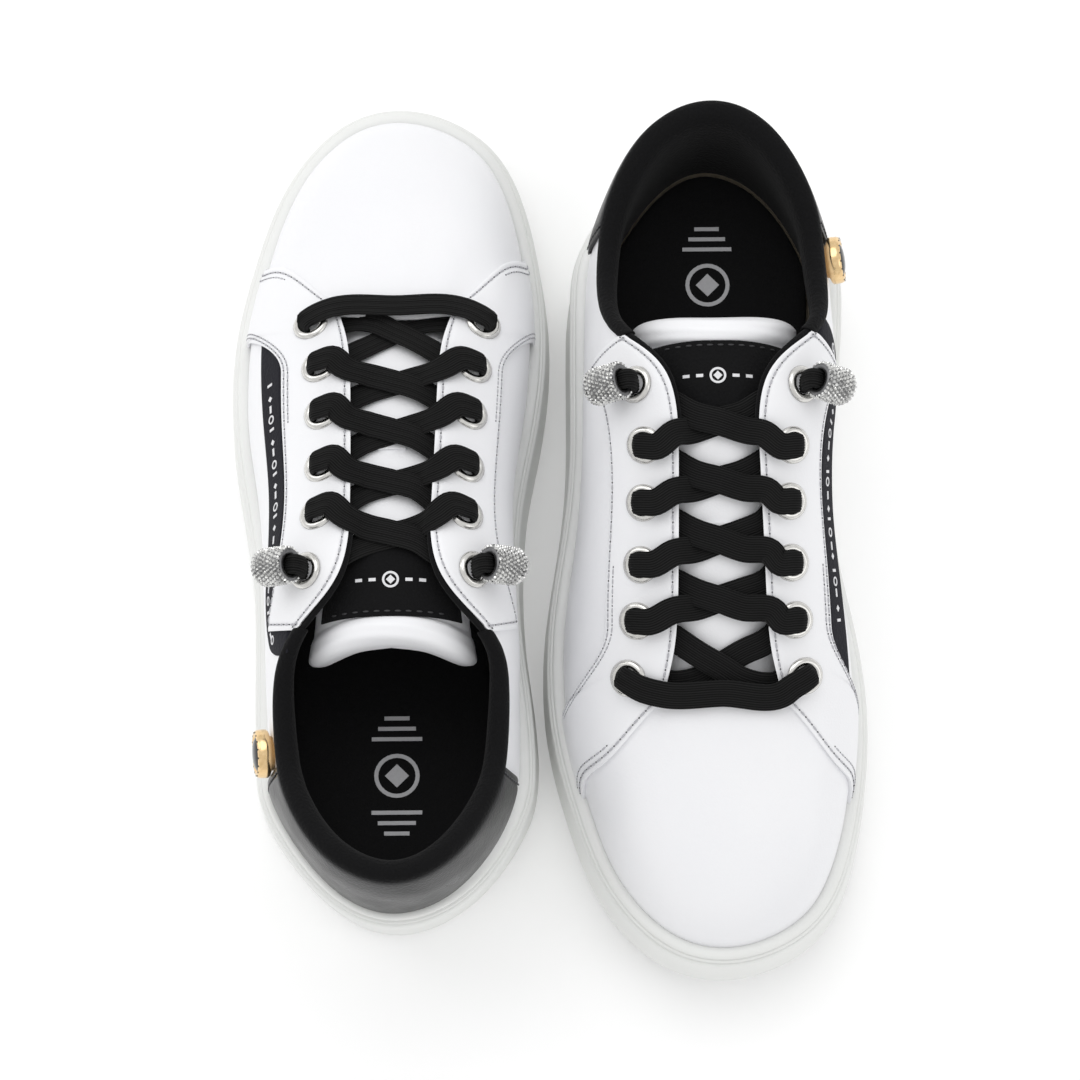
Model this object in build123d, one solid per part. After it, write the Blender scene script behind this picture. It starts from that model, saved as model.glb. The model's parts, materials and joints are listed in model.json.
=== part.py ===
from build123d import *
import math
import os

import numpy as np

# A pair of low leather lace-up trainers on white rubber cupsoles, standing side by side, toes opposite ways.
# Millimetres. Each shoe is designed in its own frame (toe towards +Y, sole on z = 0) and then stood in its place.

# ---- the pair ----
PLACES = {"left": (-48.23, 6.39, 0.52, 1), "right": (53.22, -6.4, 180.52, -1)}    # x, y, turn in degrees, hand

# ---- the last: one row for each station round the shoe, from the heel, along the -X side, round the toe and back ----
# sole edge x, y; top edge of the upper x, y, z; lean and rise of the wall; slope and reach of the top edge
STATIONS = np.array([
    (0, -136.9, 0, -130.5, 84, 1.5, 16, 82, 18),
    (-24, -126.3, -19.5, -122, 82.5, 1.5, 16, 82, 18),
    (-40.8, -103, -31.5, -103, 75, 1.5, 16, 80, 15),
    (-45, -86, -35, -86, 70.5, 2, 16, 78, 14),
    (-45.5, -64, -35, -68, 75.5, 3, 17, 74, 16),
    (-45.6, -44, -28.5, -54, 86, 4, 18, 50, 20),
    (-46.5, -22, -15.5, -38, 93.5, 4.5, 21, 13, 27),
    (-49.8, 1.8, -12.3, -12, 87, 3, 22, 13, 27),
    (-53.3, 26, -12.6, 17, 79, 2.5, 20, 13, 28),
    (-53, 56, -14.2, 43, 69.5, 2, 18, 13, 27),
    (-46.5, 85, -17.5, 57, 61.5, 2, 17, 14, 24),
    (-36.5, 110.5, -12, 61.5, 60, 2, 17, 10, 36),
    (-19.5, 130, -5.5, 63, 59.5, 2, 17, 9, 42),
    (1, 136.3, 0.8, 63.5, 59.5, 2, 17, 9, 44),
    (21, 131, 7, 63, 59.5, 2, 17, 9, 42),
    (37, 115.5, 13.5, 61.5, 60, 2, 17, 10, 36),
    (46, 87, 19, 57, 61.5, 2, 17, 14, 24),
    (48.8, 55, 15.5, 43, 69.5, 2, 18, 13, 27),
    (45.5, 25.5, 13.6, 17, 79, 3.5, 20, 13, 28),
    (41, 2, 12.4, -12, 87, 6, 22, 13, 28),
    (39.5, -22, 15, -38, 93.5, 8, 21, 13, 28),
    (40.5, -44, 29.5, -55, 85.5, 7, 18, 50, 20),
    (43, -64, 34.5, -69, 75.5, 4, 17, 74, 16),
    (44.2, -86, 34, -87, 70.5, 2, 16, 78, 14),
    (40.5, -103.5, 30.5, -103.5, 75, 1.5, 16, 80, 15),
    (25, -126, 18.5, -122, 82.5, 1.5, 16, 82, 18),
])
LOOP = len(STATIONS)
WING_FRONT, WING_BACK = 10, 9           # stations of the eyestay wing's two edges, on the -X side
CORNER = 5                              # station of the eyestay's top corner
PATCH = 2.6                             # station of the heel patch's front edge
EYESTAY_EDGE = 0.66                     # how far up the wall the eyestay's outer edge runs
WING_FOOT = 0.16                        # how far up the wall the wing starts

# ---- the sole ----
LIP_WAIST, LIP_HEEL_RISE, LIP_TOE_RISE = 28.0, 7.0, 6.0
TOE_SPRING, HEEL_BEVEL = 8.0, 2.0
FLAT_FROM, FLAT_TO = -120.0, 70.0       # the stretch of the sole that rests on the floor
HALF_LENGTH = 150.0                     # past the shoe's ends
WALL, FLOOR, FLARE = 5.0, 8.0, 1.0      # the cup's wall and floor, and how far the wall leans out at the bottom
FEATHER = 6.0                           # the upper's lower edge, in from the sole's edge
TUCK = 4.0                              # depth of the upper inside the cup
OUTWARD_PULL = 25.0                     # how strongly the wall keeps square to the sole's edge
BOARD, FOOTBED = 2.0, 4.0
FIT = 0.2                               # gap between glued pieces
TREAD_DEPTH, TREAD_WIDTH, TREAD_PITCH = 1.6, 3.0, 9.0
TREAD_HALF = 30.0
HEEL_TREAD, BALL_TREAD = (-112.0, -50.0), (14.0, 96.0)

# ---- leather and padding, as depths from the last's surface ----
SKIN = 1.5
LAYER = 0.35                            # gap between layers of the upper
OVERLAY = 1.3
PUFF = 0.8
COUNTER = 1.0
PADDING = 4.5
COLLAR_END = 4.7                        # station where the collar's padding runs out

# ---- lacing: eyelet places on the -X and the +X side, from the toe back ----
EYELETS = [((-25.7, 50.5), (28.0, 50.5)), ((-22.7, 34.4), (25.2, 34.0)), ((-21.5, 17.6), (23.8, 17.5)),
           ((-21.1, -0.8), (22.8, -1.0)), ((-22.1, -17.6), (22.4, -18.0)), ((-25.2, -36.1), (24.8, -36.2))]
EYELET_R, HOLE_R, EYELET_WALL = 5.9, 3.3, 0.4
EYELET_TOP = 2.7                        # top of the eyelet's flange over the last
LACE_WIDTH, LACE_THICK = 8.4, 1.3
UNDER = 3.0                             # depth of the lace where it runs under the eyestay
BEAD_R, BEAD_LENGTH, BEAD_HEIGHT, BEAD_BACK, BEAD_ROUND = 6.1, 13.0, 9.0, 0.8, 3.5
STUB_FOOT, STUB_KNEE, STUB_BACK, STUB_WIDTH, STUB_THICK = 3.1, 5.5, 2.2, 4.4, 2.2

# ---- tongue, label and ribbon ----
TONGUE = [(66, 15, 55.0, 2), (60, 17, 57.2, 4), (50, 19, 62.0, 6), (34, 20, 70.3, 7), (17.5, 21, 75.8, 8.5),
          (-1, 22, 81.0, 10), (-18, 23, 85.6, 12), (-36, 24.5, 89.3, 14.5), (-50, 25.5, 89.3, 17),
          (-62, 26, 88.3, 19)]
TONGUE_THICK = 4.5
TONGUE_SPLIT, SPLIT_GAP = -35.0, 1.0
LABEL_Y, LABEL_SHARE, LABEL_THICK = (-50.5, -37.0), 0.74, 0.7
RIBBON_WIDTH, RIBBON_THICK = 0.15, 0.8  # width as a part of the wall's height

# ---- gold stud ----
STUD_AT = (-86.4, 57.0)                 # along the shoe and up
STUD_R, STUD_THICK, STUD_FLOOR, FACE_R, POST_R = 7.6, 4.6, 2.6, 5.6, 1.4
ACROSS, ALONG, ALONG_QUARTER = 8, 19, 31    # points over each leather panel


def ring_slopes(rows):
    """Slopes of the smooth closed curve through the rows."""
    count = len(rows)
    matrix = 4 * np.eye(count) + np.roll(np.eye(count), 1, axis=1) + np.roll(np.eye(count), -1, axis=1)
    return np.linalg.solve(matrix, 3 * (np.roll(rows, -1, axis=0) - np.roll(rows, 1, axis=0)))


def lip_height(y):
    heel = max(0.0, (20 - y) / 155) ** 2
    toe = max(0.0, (y - 60) / 75) ** 2
    return LIP_WAIST + LIP_HEEL_RISE * heel + LIP_TOE_RISE * toe


def ground_height(y):
    toe = max(0.0, (y - FLAT_TO) / 66) ** 2
    heel = max(0.0, (FLAT_FROM - y) / 17) ** 2
    return TOE_SPRING * toe + HEEL_BEVEL * heel


class Last:
    """The shape that one shoe is made on: a wall from the sole's edge up to the collar and the throat."""

    def __init__(self, hand):
        rows = STATIONS.astype(float)
        if hand < 0:
            rows = np.roll(rows[::-1], 1, axis=0)
            rows[:, [0, 2]] *= -1
        self.rows = rows
        self.slopes = ring_slopes(rows)

    def station(self, a):
        """The row at any place round the shoe, and how fast it changes."""
        i = int(math.floor(a)) % LOOP
        j = (i + 1) % LOOP
        u = a - math.floor(a)
        p, q, m, n = self.rows[i], self.rows[j], self.slopes[i], self.slopes[j]
        row = (2*u**3 - 3*u**2 + 1) * p + (u**3 - 2*u**2 + u) * m + (3*u**2 - 2*u**3) * q + (u**3 - u**2) * n
        rate = 6*(u**2 - u) * (p - q) + (3*u**2 - 4*u + 1) * m + (3*u**2 - 2*u) * n
        return row, rate

    def edge(self, a, inset):
        """A point of the sole's outline, moved in by inset."""
        row, rate = self.station(a)
        along = rate[:2] / np.hypot(*rate[:2])
        return row[:2] + inset * np.array([along[1], -along[0]])

    def wall(self, a, t, depth=0.0):
        """A point of the wall: t runs from 0 at the sole to 1 at the top edge, depth goes inwards."""
        row, _ = self.station(a)
        foot = self.edge(a, FEATHER)
        low = np.array([*foot, lip_height(foot[1]) - TUCK])
        top = row[2:5]
        lean, rise, slope, reach = row[5:]
        edge = self.edge(a, 0)
        out = np.array([*(low[:2] - top[:2] + OUTWARD_PULL * (edge - foot) / FEATHER), 0.0])
        out /= np.linalg.norm(out)
        up = np.array([0.0, 0.0, 1.0])
        angle = math.radians(slope)
        c1 = low + lean * out + rise * up
        c2 = top + reach * (math.cos(angle) * out - math.sin(angle) * up)
        s = 1 - t
        point = s**3 * low + 3*s*s*t * c1 + 3*s*t*t * c2 + t**3 * top
        return point - depth * self.normal(a, t) if depth else point

    def normal(self, a, t):
        """Outward direction of the wall."""
        step = 0.02
        along = self.wall(a + step, t) - self.wall(a - step, t)
        rise = self.wall(a, min(1, t + step)) - self.wall(a, max(0, t - step))
        out = np.cross(rise, along)
        return out / np.linalg.norm(out)

    def find(self, x, y):
        """Where on the wall the place x, y lies, seen from above."""
        best = min(((a, t) for a in np.arange(0, LOOP, 0.5) for t in np.arange(0.4, 1.0, 0.05)),
                   key=lambda p: np.hypot(*(self.wall(*p)[:2] - (x, y))))
        a, t = best
        step = 0.01
        for _ in range(8):
            here = self.wall(a, t)[:2]
            jacobian = np.array([(self.wall(a + step, t)[:2] - here) / step,
                                 (self.wall(a, t + step)[:2] - here) / step]).T
            change = np.linalg.solve(jacobian, np.array([x, y]) - here)
            a, t = a + change[0], t + change[1]
        return a, t


def skin(outer, inner):
    """A closed solid between two grids of points."""
    faces = [Face.make_surface_from_array_of_points([[tuple(p) for p in row] for row in grid], tol=0.05)
             for grid in (outer, inner)]
    sides = [Face.make_surface_from_curves(a, b) for a, b in zip(faces[0].edges(), faces[1].edges())]
    solid = Solid(Shell(faces + sides))
    return solid if solid.volume > 0 else Solid(Shell([-f for f in faces + sides]))


def panel(last, stations, low, high, outside, inside, across=ACROSS, along=ALONG):
    """A leather panel of the wall between two stations; low and high give its edges at each station."""
    grids = []
    for depth in (outside, inside):
        depth_at = depth if callable(depth) else level(depth)
        grid = []
        for a in np.linspace(*stations, along):
            grid.append([last.wall(a, t, depth_at(a)) for t in np.linspace(low(a), high(a), across)])
        grids.append(grid)
    return skin(*grids)


def level(value):
    return lambda a: value


def outline(last, inset, z):
    """The sole's outline as a closed wire."""
    points = [(*last.edge(a, inset), z) for a in range(LOOP)]
    return Wire([Spline(*points, periodic=True)])


def side_edge(height, start, stop, count):
    """The side view of one stretch: a straight line where the height doesn't change."""
    points = [(0, y, height(y)) for y in np.linspace(start, stop, count)]
    return Line(points[0], points[-1]) if len({z for _, _, z in points}) == 1 else Spline(*points)


def side_view(low, high):
    """A slab as wide as the sole, between two heights that follow the shoe's length."""
    floor = [side_edge(low, -HALF_LENGTH, FLAT_FROM, 6), side_edge(low, FLAT_FROM, FLAT_TO, 13),
             side_edge(low, FLAT_TO, HALF_LENGTH, 9)]
    roof = Spline(*[(0, y, high(y)) for y in np.linspace(-HALF_LENGTH, HALF_LENGTH, 25)])
    ends = [Line(floor[-1] @ 1, roof @ 1), Line(roof @ 0, floor[0] @ 0)]
    return extrude(Face(Wire([*floor, roof, *ends])), HALF_LENGTH, dir=(1, 0, 0), both=True)


def slab(last, insets, low, high):
    """A piece of the sole's outline, insets at the bottom and at the top, between two heights."""
    block = Solid.make_loft([outline(last, insets[0], -5), outline(last, insets[1], 60)], ruled=True)
    return block & side_view(low, high)


def tread_grooves():
    """Straight grooves across the resting face, left out under the waist."""
    cuts = []
    for y in [*np.arange(*HEEL_TREAD, TREAD_PITCH), *np.arange(*BALL_TREAD, TREAD_PITCH)]:
        cuts.append(Pos(0, y, 0) * Box(2 * TREAD_HALF, TREAD_WIDTH, 2 * TREAD_DEPTH))
    return cuts


def make_sole(last):
    outer = slab(last, (-FLARE, FLARE), ground_height, lip_height)
    pocket = slab(last, (WALL, WALL), lambda y: ground_height(y) + FLOOR, lambda y: 55)
    cup = outer - pocket
    for cut in tread_grooves():
        cup -= cut
    top = TUCK + BOARD + 2 * FIT
    return {
        "cupsole": cup,
        "midsole_filler": slab(last, (WALL + FIT, WALL + FIT), lambda y: ground_height(y) + FLOOR + FIT,
                               lambda y: lip_height(y) - top),
        "insole_board": slab(last, (WALL + FIT, WALL + FIT), lambda y: lip_height(y) - top + FIT,
                             lambda y: lip_height(y) - TUCK - FIT),
        "footbed": slab(last, (FEATHER + 7.5, FEATHER + 7.5), lambda y: lip_height(y) - TUCK,
                        lambda y: lip_height(y) - TUCK + FOOTBED),
    }


def patch_foot(a):
    """Lower edge of the heel patch: along the sole on the -X side, rising on the +X side."""
    return 0.10 if a > 0 else 0.10 + 0.42 * (-a / PATCH) ** 1.5


def collar_foot(a):
    return 0.12


def ribbon_low(a):
    """Lower edge of the side ribbon, which runs into the eyestay at the front."""
    taper = min(1.0, (WING_BACK - 0.1 - a) / 0.5)
    return EYESTAY_EDGE - 0.015 - RIBBON_WIDTH * max(0.5, taper)


def make_upper(last):
    """Vamp, quarters, eyestays, heel patch, stiffeners and the collar's padding."""
    parts = {}
    parts["vamp"] = panel(last, (WING_FRONT + 0.03, LOOP - WING_FRONT - 0.03), level(0), level(1), 0, SKIN)
    parts["toe_puff"] = panel(last, (WING_FRONT + 1, LOOP - WING_FRONT - 1), level(0.04), level(0.45),
                              SKIN + LAYER, SKIN + LAYER + PUFF)
    side = {"outer": (0.02, WING_FRONT - 0.03), "inner": (-0.02, 0.03 - WING_FRONT)}
    for name, ends in side.items():
        parts["quarter_" + name] = panel(last, ends, level(0), level(1), 0, SKIN, along=ALONG_QUARTER)
    for name, sign in (("outer", 1), ("inner", -1)):
        stay = panel(last, (sign * CORNER, sign * WING_FRONT), level(EYESTAY_EDGE), level(1), -LAYER - OVERLAY, -LAYER)
        wing = panel(last, (sign * WING_BACK, sign * WING_FRONT), level(WING_FOOT), level(EYESTAY_EDGE - 0.003),
                     -LAYER - OVERLAY, -LAYER)
        parts["eyestay_" + name] = [stay, wing]
    parts["heel_patch"] = panel(last, (-PATCH, PATCH), patch_foot, level(1), -LAYER - OVERLAY, -LAYER)
    parts["heel_counter"] = panel(last, (-3, 3), level(0.03), level(0.6), SKIN + LAYER, SKIN + LAYER + COUNTER)
    deep = SKIN + COUNTER + 2 * LAYER
    parts["collar_lining"] = panel(last, (-COLLAR_END, COLLAR_END), collar_foot, level(1), deep,
                                   lambda a: deep + PADDING * (1 - 0.6 * (abs(a) / COLLAR_END) ** 3))
    parts["side_ribbon"] = panel(last, (CORNER - 0.35, WING_BACK - 0.1), ribbon_low, level(EYESTAY_EDGE - 0.01),
                                 -LAYER - RIBBON_THICK, -LAYER)
    return parts


def tongue_at(y, x, drop=0.0):
    """A point of the tongue's top surface at half-width share x, drop mm lower."""
    ys = [row[0] for row in TONGUE][::-1]
    half, top, fall = (np.interp(y, ys, [row[i] for row in TONGUE][::-1]) for i in (1, 2, 3))
    return np.array([x * half, y, top - fall * abs(x) ** 2.5 - drop])


def tongue_normal(y, x):
    step = 0.5
    along = tongue_at(y + step, x) - tongue_at(y - step, x)
    across = tongue_at(y, x + 0.02) - tongue_at(y, x - 0.02)
    out = np.cross(across, along)
    return out / np.linalg.norm(out)


def tongue_slab(front, back, thick, share=1.0, lift=0.0):
    grids = []
    for drop in (-lift, thick - lift):
        grids.append([[tongue_at(y, x, drop) for x in np.linspace(-share, share, 13)]
                      for y in np.linspace(front, back, 17)])
    return skin(*grids)


def make_tongue():
    return {
        "tongue": tongue_slab(TONGUE[0][0] - 2, TONGUE_SPLIT + SPLIT_GAP, TONGUE_THICK),
        "tongue_top": tongue_slab(TONGUE_SPLIT - SPLIT_GAP, TONGUE[-1][0], TONGUE_THICK + 1.5),
        "tongue_label": tongue_slab(LABEL_Y[1], LABEL_Y[0], LABEL_THICK, LABEL_SHARE, LABEL_THICK + FIT),
    }


def seat(point, direction):
    return Plane(origin=tuple(point), z_dir=tuple(direction))


def make_eyelet(place):
    flange = Solid.make_cylinder(EYELET_R, 0.9, place.offset(EYELET_TOP - 0.9))
    barrel = Solid.make_cylinder(HOLE_R + EYELET_WALL, 4.4, place.offset(-SKIN - 1.2))
    washer = Solid.make_cylinder(EYELET_R - 1.2, 0.5, place.offset(-SKIN - 1.2))
    bore = Solid.make_cylinder(HOLE_R, 12, place.offset(-6))
    return flange + barrel + washer - bore


def strap(points, ups, widths, thick):
    """A flat band lofted along points; ups point out of its face."""
    wires = []
    points = [np.array(p, float) for p in points]
    for i, (point, up, width) in enumerate(zip(points, ups, widths)):
        along = points[min(i + 1, len(points) - 1)] - points[max(i - 1, 0)]
        across = np.cross(along, up)
        across /= np.linalg.norm(across)
        face = np.cross(across, along)
        face /= np.linalg.norm(face)
        corners = [point + sx * across * width / 2 + sz * face * thick / 2
                   for sx, sz in ((-1, -1), (1, -1), (1, 1), (-1, 1))]
        wires.append(Wire.make_polygon([tuple(c) for c in corners], close=True))
    return Solid.make_loft(wires, ruled=True)


def lace_run(last, start, end, over):
    """One run of lace from an eyelet across the tongue to the next eyelet back on the other side."""
    (a, _, p, n), (b, _, q, m) = start, end
    side = math.copysign(1, p[0])
    up = np.array([0, 0, 1.0])
    drift = 0.25 * (q[1] - p[1])
    lift = LACE_THICK * 0.5 + FIT + (LACE_THICK + FIT if side < 0 else 0)
    crossing = [((p[1] + q[1]) / 2 - x * drift / 6, side * x / 22) for x in (6, -6)]
    middle = [tongue_at(*place) + up * lift for place in crossing]
    height = EYELET_TOP + LACE_THICK if over else -UNDER
    brink = last.wall(a, 0.985, -LAYER - OVERLAY - LACE_THICK if over else UNDER)
    brow = last.wall(b, 0.985, UNDER)
    brink[1] += drift * 0.8
    brow[1] -= drift * 0.8
    points = [p + n * height, brink, *middle, brow, q - m * UNDER]
    widths = [5.0, LACE_WIDTH, LACE_WIDTH, LACE_WIDTH, LACE_WIDTH, 5.0]
    ups = [n, last.normal(a, 0.97), *(tongue_normal(*place) for place in crossing), last.normal(b, 0.97), m]
    return strap(points, ups, widths, LACE_THICK)


def lace_bar(last, start, end):
    """The straight run across the front, over both eyelets of the first row."""
    (a, _, p, n), (b, _, q, m) = start, end
    height = EYELET_TOP + LACE_THICK
    brink = last.wall(a, 0.985, -LAYER - OVERLAY - LACE_THICK)
    brow = last.wall(b, 0.985, -LAYER - OVERLAY - LACE_THICK)
    brink[1], brow[1] = p[1], q[1]
    points = [p + n * height, brink, (brink + brow) / 2, brow, q + m * height]
    widths = [5.0, LACE_WIDTH, LACE_WIDTH, LACE_WIDTH, 5.0]
    level_up = tongue_normal(p[1], 0)
    return strap(points, [n, level_up, level_up, level_up, m], widths, LACE_THICK)


def make_lacing(last):
    """Eyelets, the lace run by run, and the two beaded ends."""
    seats = []
    for pair in EYELETS:
        found = [last.find(*place) for place in pair]
        seats.append([(*at, last.wall(*at), last.normal(*at)) for at in found])
    places = [seat(*end[2:]) for row in seats for end in row]
    plugs = [Solid.make_cylinder(HOLE_R - FIT, 5.0, place.offset(-3.0)) for place in places]
    runs = [lace_run(last, seats[k][s], seats[k + 1][1 - s], k > 0) for k in range(5) for s in (0, 1)]
    parts = {"eyelets": [make_eyelet(place) for place in places], "laces": [*runs, lace_bar(last, *seats[0]), *plugs]}
    for name, (_, _, p, n) in zip(("outer", "inner"), seats[-1]):
        away = np.array([math.copysign(1, p[0]), 0.08, 0])
        away -= n * np.dot(away, n)
        away /= np.linalg.norm(away)
        centre = p + n * BEAD_HEIGHT - away * BEAD_BACK
        bead = Solid.make_cylinder(BEAD_R, BEAD_LENGTH, Plane(origin=tuple(centre), z_dir=tuple(away)))
        far = bead.edges().sort_by(lambda e: np.dot(np.array([*e.center()]), away))[-1:]
        parts["bead_" + name] = bead.fillet(BEAD_ROUND, far)
        stub = [p + n * STUB_FOOT, p + n * STUB_KNEE - away * STUB_BACK, centre - away * FIT]
        parts["lace_end_" + name] = strap(stub, [n - away] * 3, [STUB_WIDTH] * 3, STUB_THICK)
    return parts, seats


def stud_place(last):
    """The seat of the stud on the -X wall, at the height and length it stands at."""
    grid = ((a, t) for a in np.arange(2, 4, 0.05) for t in np.arange(0.2, 0.9, 0.02))
    a, t = min(grid, key=lambda p: np.hypot(*(last.wall(*p)[1:] - STUD_AT)))
    return seat(last.wall(a, t), last.normal(a, t))


def make_stud(place):
    base = OVERLAY + 3 * FIT
    rim = Solid.make_cylinder(STUD_R, STUD_THICK, place.offset(base))
    rim = rim.chamfer(0.8, None, rim.edges().sort_by_distance(tuple(place.offset(base + 9).origin))[:1])
    rim -= Solid.make_cylinder(FACE_R + FIT, STUD_THICK, place.offset(base + STUD_FLOOR))
    face = Solid.make_cylinder(FACE_R, STUD_THICK - STUD_FLOOR + 0.3, place.offset(base + STUD_FLOOR + 0.05))
    post = Solid.make_cylinder(POST_R, base + SKIN, place.offset(-SKIN))
    return {"stud_rim": rim, "stud_face": face, "stud_post": post}


def make_shoe(hand):
    last = Last(hand)
    parts = make_sole(last) | make_upper(last) | make_tongue()
    lacing, seats = make_lacing(last)
    for name, s in (("outer", 0), ("inner", 1)):
        stay, wing = parts["eyestay_" + name]
        for row in seats:
            cut = Solid.make_cylinder(HOLE_R + EYELET_WALL + 0.15, 14, seat(*row[s][2:]).offset(-7))
            stay -= cut
            parts["quarter_" + name] -= cut
        parts["eyestay_" + name] = [stay, wing]
    place = stud_place(last)
    parts["quarter_outer"] -= Solid.make_cylinder(POST_R + 0.15, 12, place.offset(-6))
    parts["heel_patch"] -= Solid.make_cylinder(POST_R + 0.15, 12, place.offset(-6))
    return parts | lacing | make_stud(place)


def solids_of(shape):
    if isinstance(shape, (list, tuple)):
        return [solid for piece in shape for solid in solids_of(piece)]
    return list(shape.solids())


def main():
    os.makedirs("parts", exist_ok=True)
    for side, (x, y, turn, hand) in PLACES.items():
        stand = Pos(x, y, 0) * Rot(0, 0, turn)
        for name, shape in make_shoe(hand).items():
            placed = [stand * solid for solid in solids_of(shape)]
            node = Compound(placed) if len(placed) > 1 else placed[0]
            export_step(node, f"parts/{name}_{side}.step")


main()
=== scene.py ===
# %% [markdown]
# # A pair of white lace-up trainers
# Each shoe is a rubber cup, a leather upper stretched over a last, a padded tongue, a flat elastic lace and
# a few metal and crystal trimmings. The frame gives every place; this file gives the surfaces.

# %% Load the frame
import json
import math

import bmesh
import bpy
import numpy as np
from mathutils import Matrix, Vector


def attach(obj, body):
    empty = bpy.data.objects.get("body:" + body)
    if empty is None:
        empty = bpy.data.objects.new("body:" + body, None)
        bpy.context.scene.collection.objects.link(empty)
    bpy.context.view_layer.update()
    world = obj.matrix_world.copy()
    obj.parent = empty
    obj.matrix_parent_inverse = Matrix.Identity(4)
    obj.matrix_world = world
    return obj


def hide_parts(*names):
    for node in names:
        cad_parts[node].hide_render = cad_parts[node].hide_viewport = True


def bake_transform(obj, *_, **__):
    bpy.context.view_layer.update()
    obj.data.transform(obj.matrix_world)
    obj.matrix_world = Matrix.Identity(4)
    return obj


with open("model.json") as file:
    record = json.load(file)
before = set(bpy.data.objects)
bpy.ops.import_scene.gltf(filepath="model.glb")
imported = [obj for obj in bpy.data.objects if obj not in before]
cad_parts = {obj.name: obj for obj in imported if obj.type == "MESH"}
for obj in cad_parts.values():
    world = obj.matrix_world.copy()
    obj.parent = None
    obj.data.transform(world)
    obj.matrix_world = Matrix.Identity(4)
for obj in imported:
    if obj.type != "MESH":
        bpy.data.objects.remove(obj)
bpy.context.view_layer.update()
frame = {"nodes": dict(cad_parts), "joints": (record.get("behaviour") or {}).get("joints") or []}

MM = 0.001
JOINTS = {joint["name"]: joint for joint in frame["joints"]}

# %% [markdown]
# ## The last
# A shoemaker pulls flat leather over a wooden last. Here the last is a formula: a closed row of stations round
# the shoe, each with the sole's edge, the top edge of the upper, and how the wall between them bulges. It is the
# same table as the solids were made from, so every skin lies where its solid lies. One object of this class can
# turn "how far round, how far up" into a point, and every panel below is a flat grid sent through it.

# %% The stations of the last, in millimetres
# sole edge x, y; top edge x, y, z; lean and rise of the wall; slope and reach of the top edge
STATIONS = np.array([
    (0, -136.9, 0, -130.5, 84, 1.5, 16, 82, 18),
    (-24, -126.3, -19.5, -122, 82.5, 1.5, 16, 82, 18),
    (-40.8, -103, -31.5, -103, 75, 1.5, 16, 80, 15),
    (-45, -86, -35, -86, 70.5, 2, 16, 78, 14),
    (-45.5, -64, -35, -68, 75.5, 3, 17, 74, 16),
    (-45.6, -44, -28.5, -54, 86, 4, 18, 50, 20),
    (-46.5, -22, -15.5, -38, 93.5, 4.5, 21, 13, 27),
    (-49.8, 1.8, -12.3, -12, 87, 3, 22, 13, 27),
    (-53.3, 26, -12.6, 17, 79, 2.5, 20, 13, 28),
    (-53, 56, -14.2, 43, 69.5, 2, 18, 13, 27),
    (-46.5, 85, -17.5, 57, 61.5, 2, 17, 14, 24),
    (-36.5, 110.5, -12, 61.5, 60, 2, 17, 10, 36),
    (-19.5, 130, -5.5, 63, 59.5, 2, 17, 9, 42),
    (1, 136.3, 0.8, 63.5, 59.5, 2, 17, 9, 44),
    (21, 131, 7, 63, 59.5, 2, 17, 9, 42),
    (37, 115.5, 13.5, 61.5, 60, 2, 17, 10, 36),
    (46, 87, 19, 57, 61.5, 2, 17, 14, 24),
    (48.8, 55, 15.5, 43, 69.5, 2, 18, 13, 27),
    (45.5, 25.5, 13.6, 17, 79, 3.5, 20, 13, 28),
    (41, 2, 12.4, -12, 87, 6, 22, 13, 28),
    (39.5, -22, 15, -38, 93.5, 8, 21, 13, 28),
    (40.5, -44, 29.5, -55, 85.5, 7, 18, 50, 20),
    (43, -64, 34.5, -69, 75.5, 4, 17, 74, 16),
    (44.2, -86, 34, -87, 70.5, 2, 16, 78, 14),
    (40.5, -103.5, 30.5, -103.5, 75, 1.5, 16, 80, 15),
    (25, -126, 18.5, -122, 82.5, 1.5, 16, 82, 18),
])
LOOP = len(STATIONS)
FEATHER, TUCK, OUTWARD_PULL = 6.0, 4.0, 25.0
STEP = 0.02


def lip_height(y):
    heel = np.maximum(0, (20 - y) / 155) ** 2
    toe = np.maximum(0, (y - 60) / 75) ** 2
    return 28 + 7 * heel + 6 * toe


def ground_height(y):
    toe = np.maximum(0, (y - 70) / 66) ** 2
    heel = np.maximum(0, (-120 - y) / 17) ** 2
    return 8 * toe + 2 * heel


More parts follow.
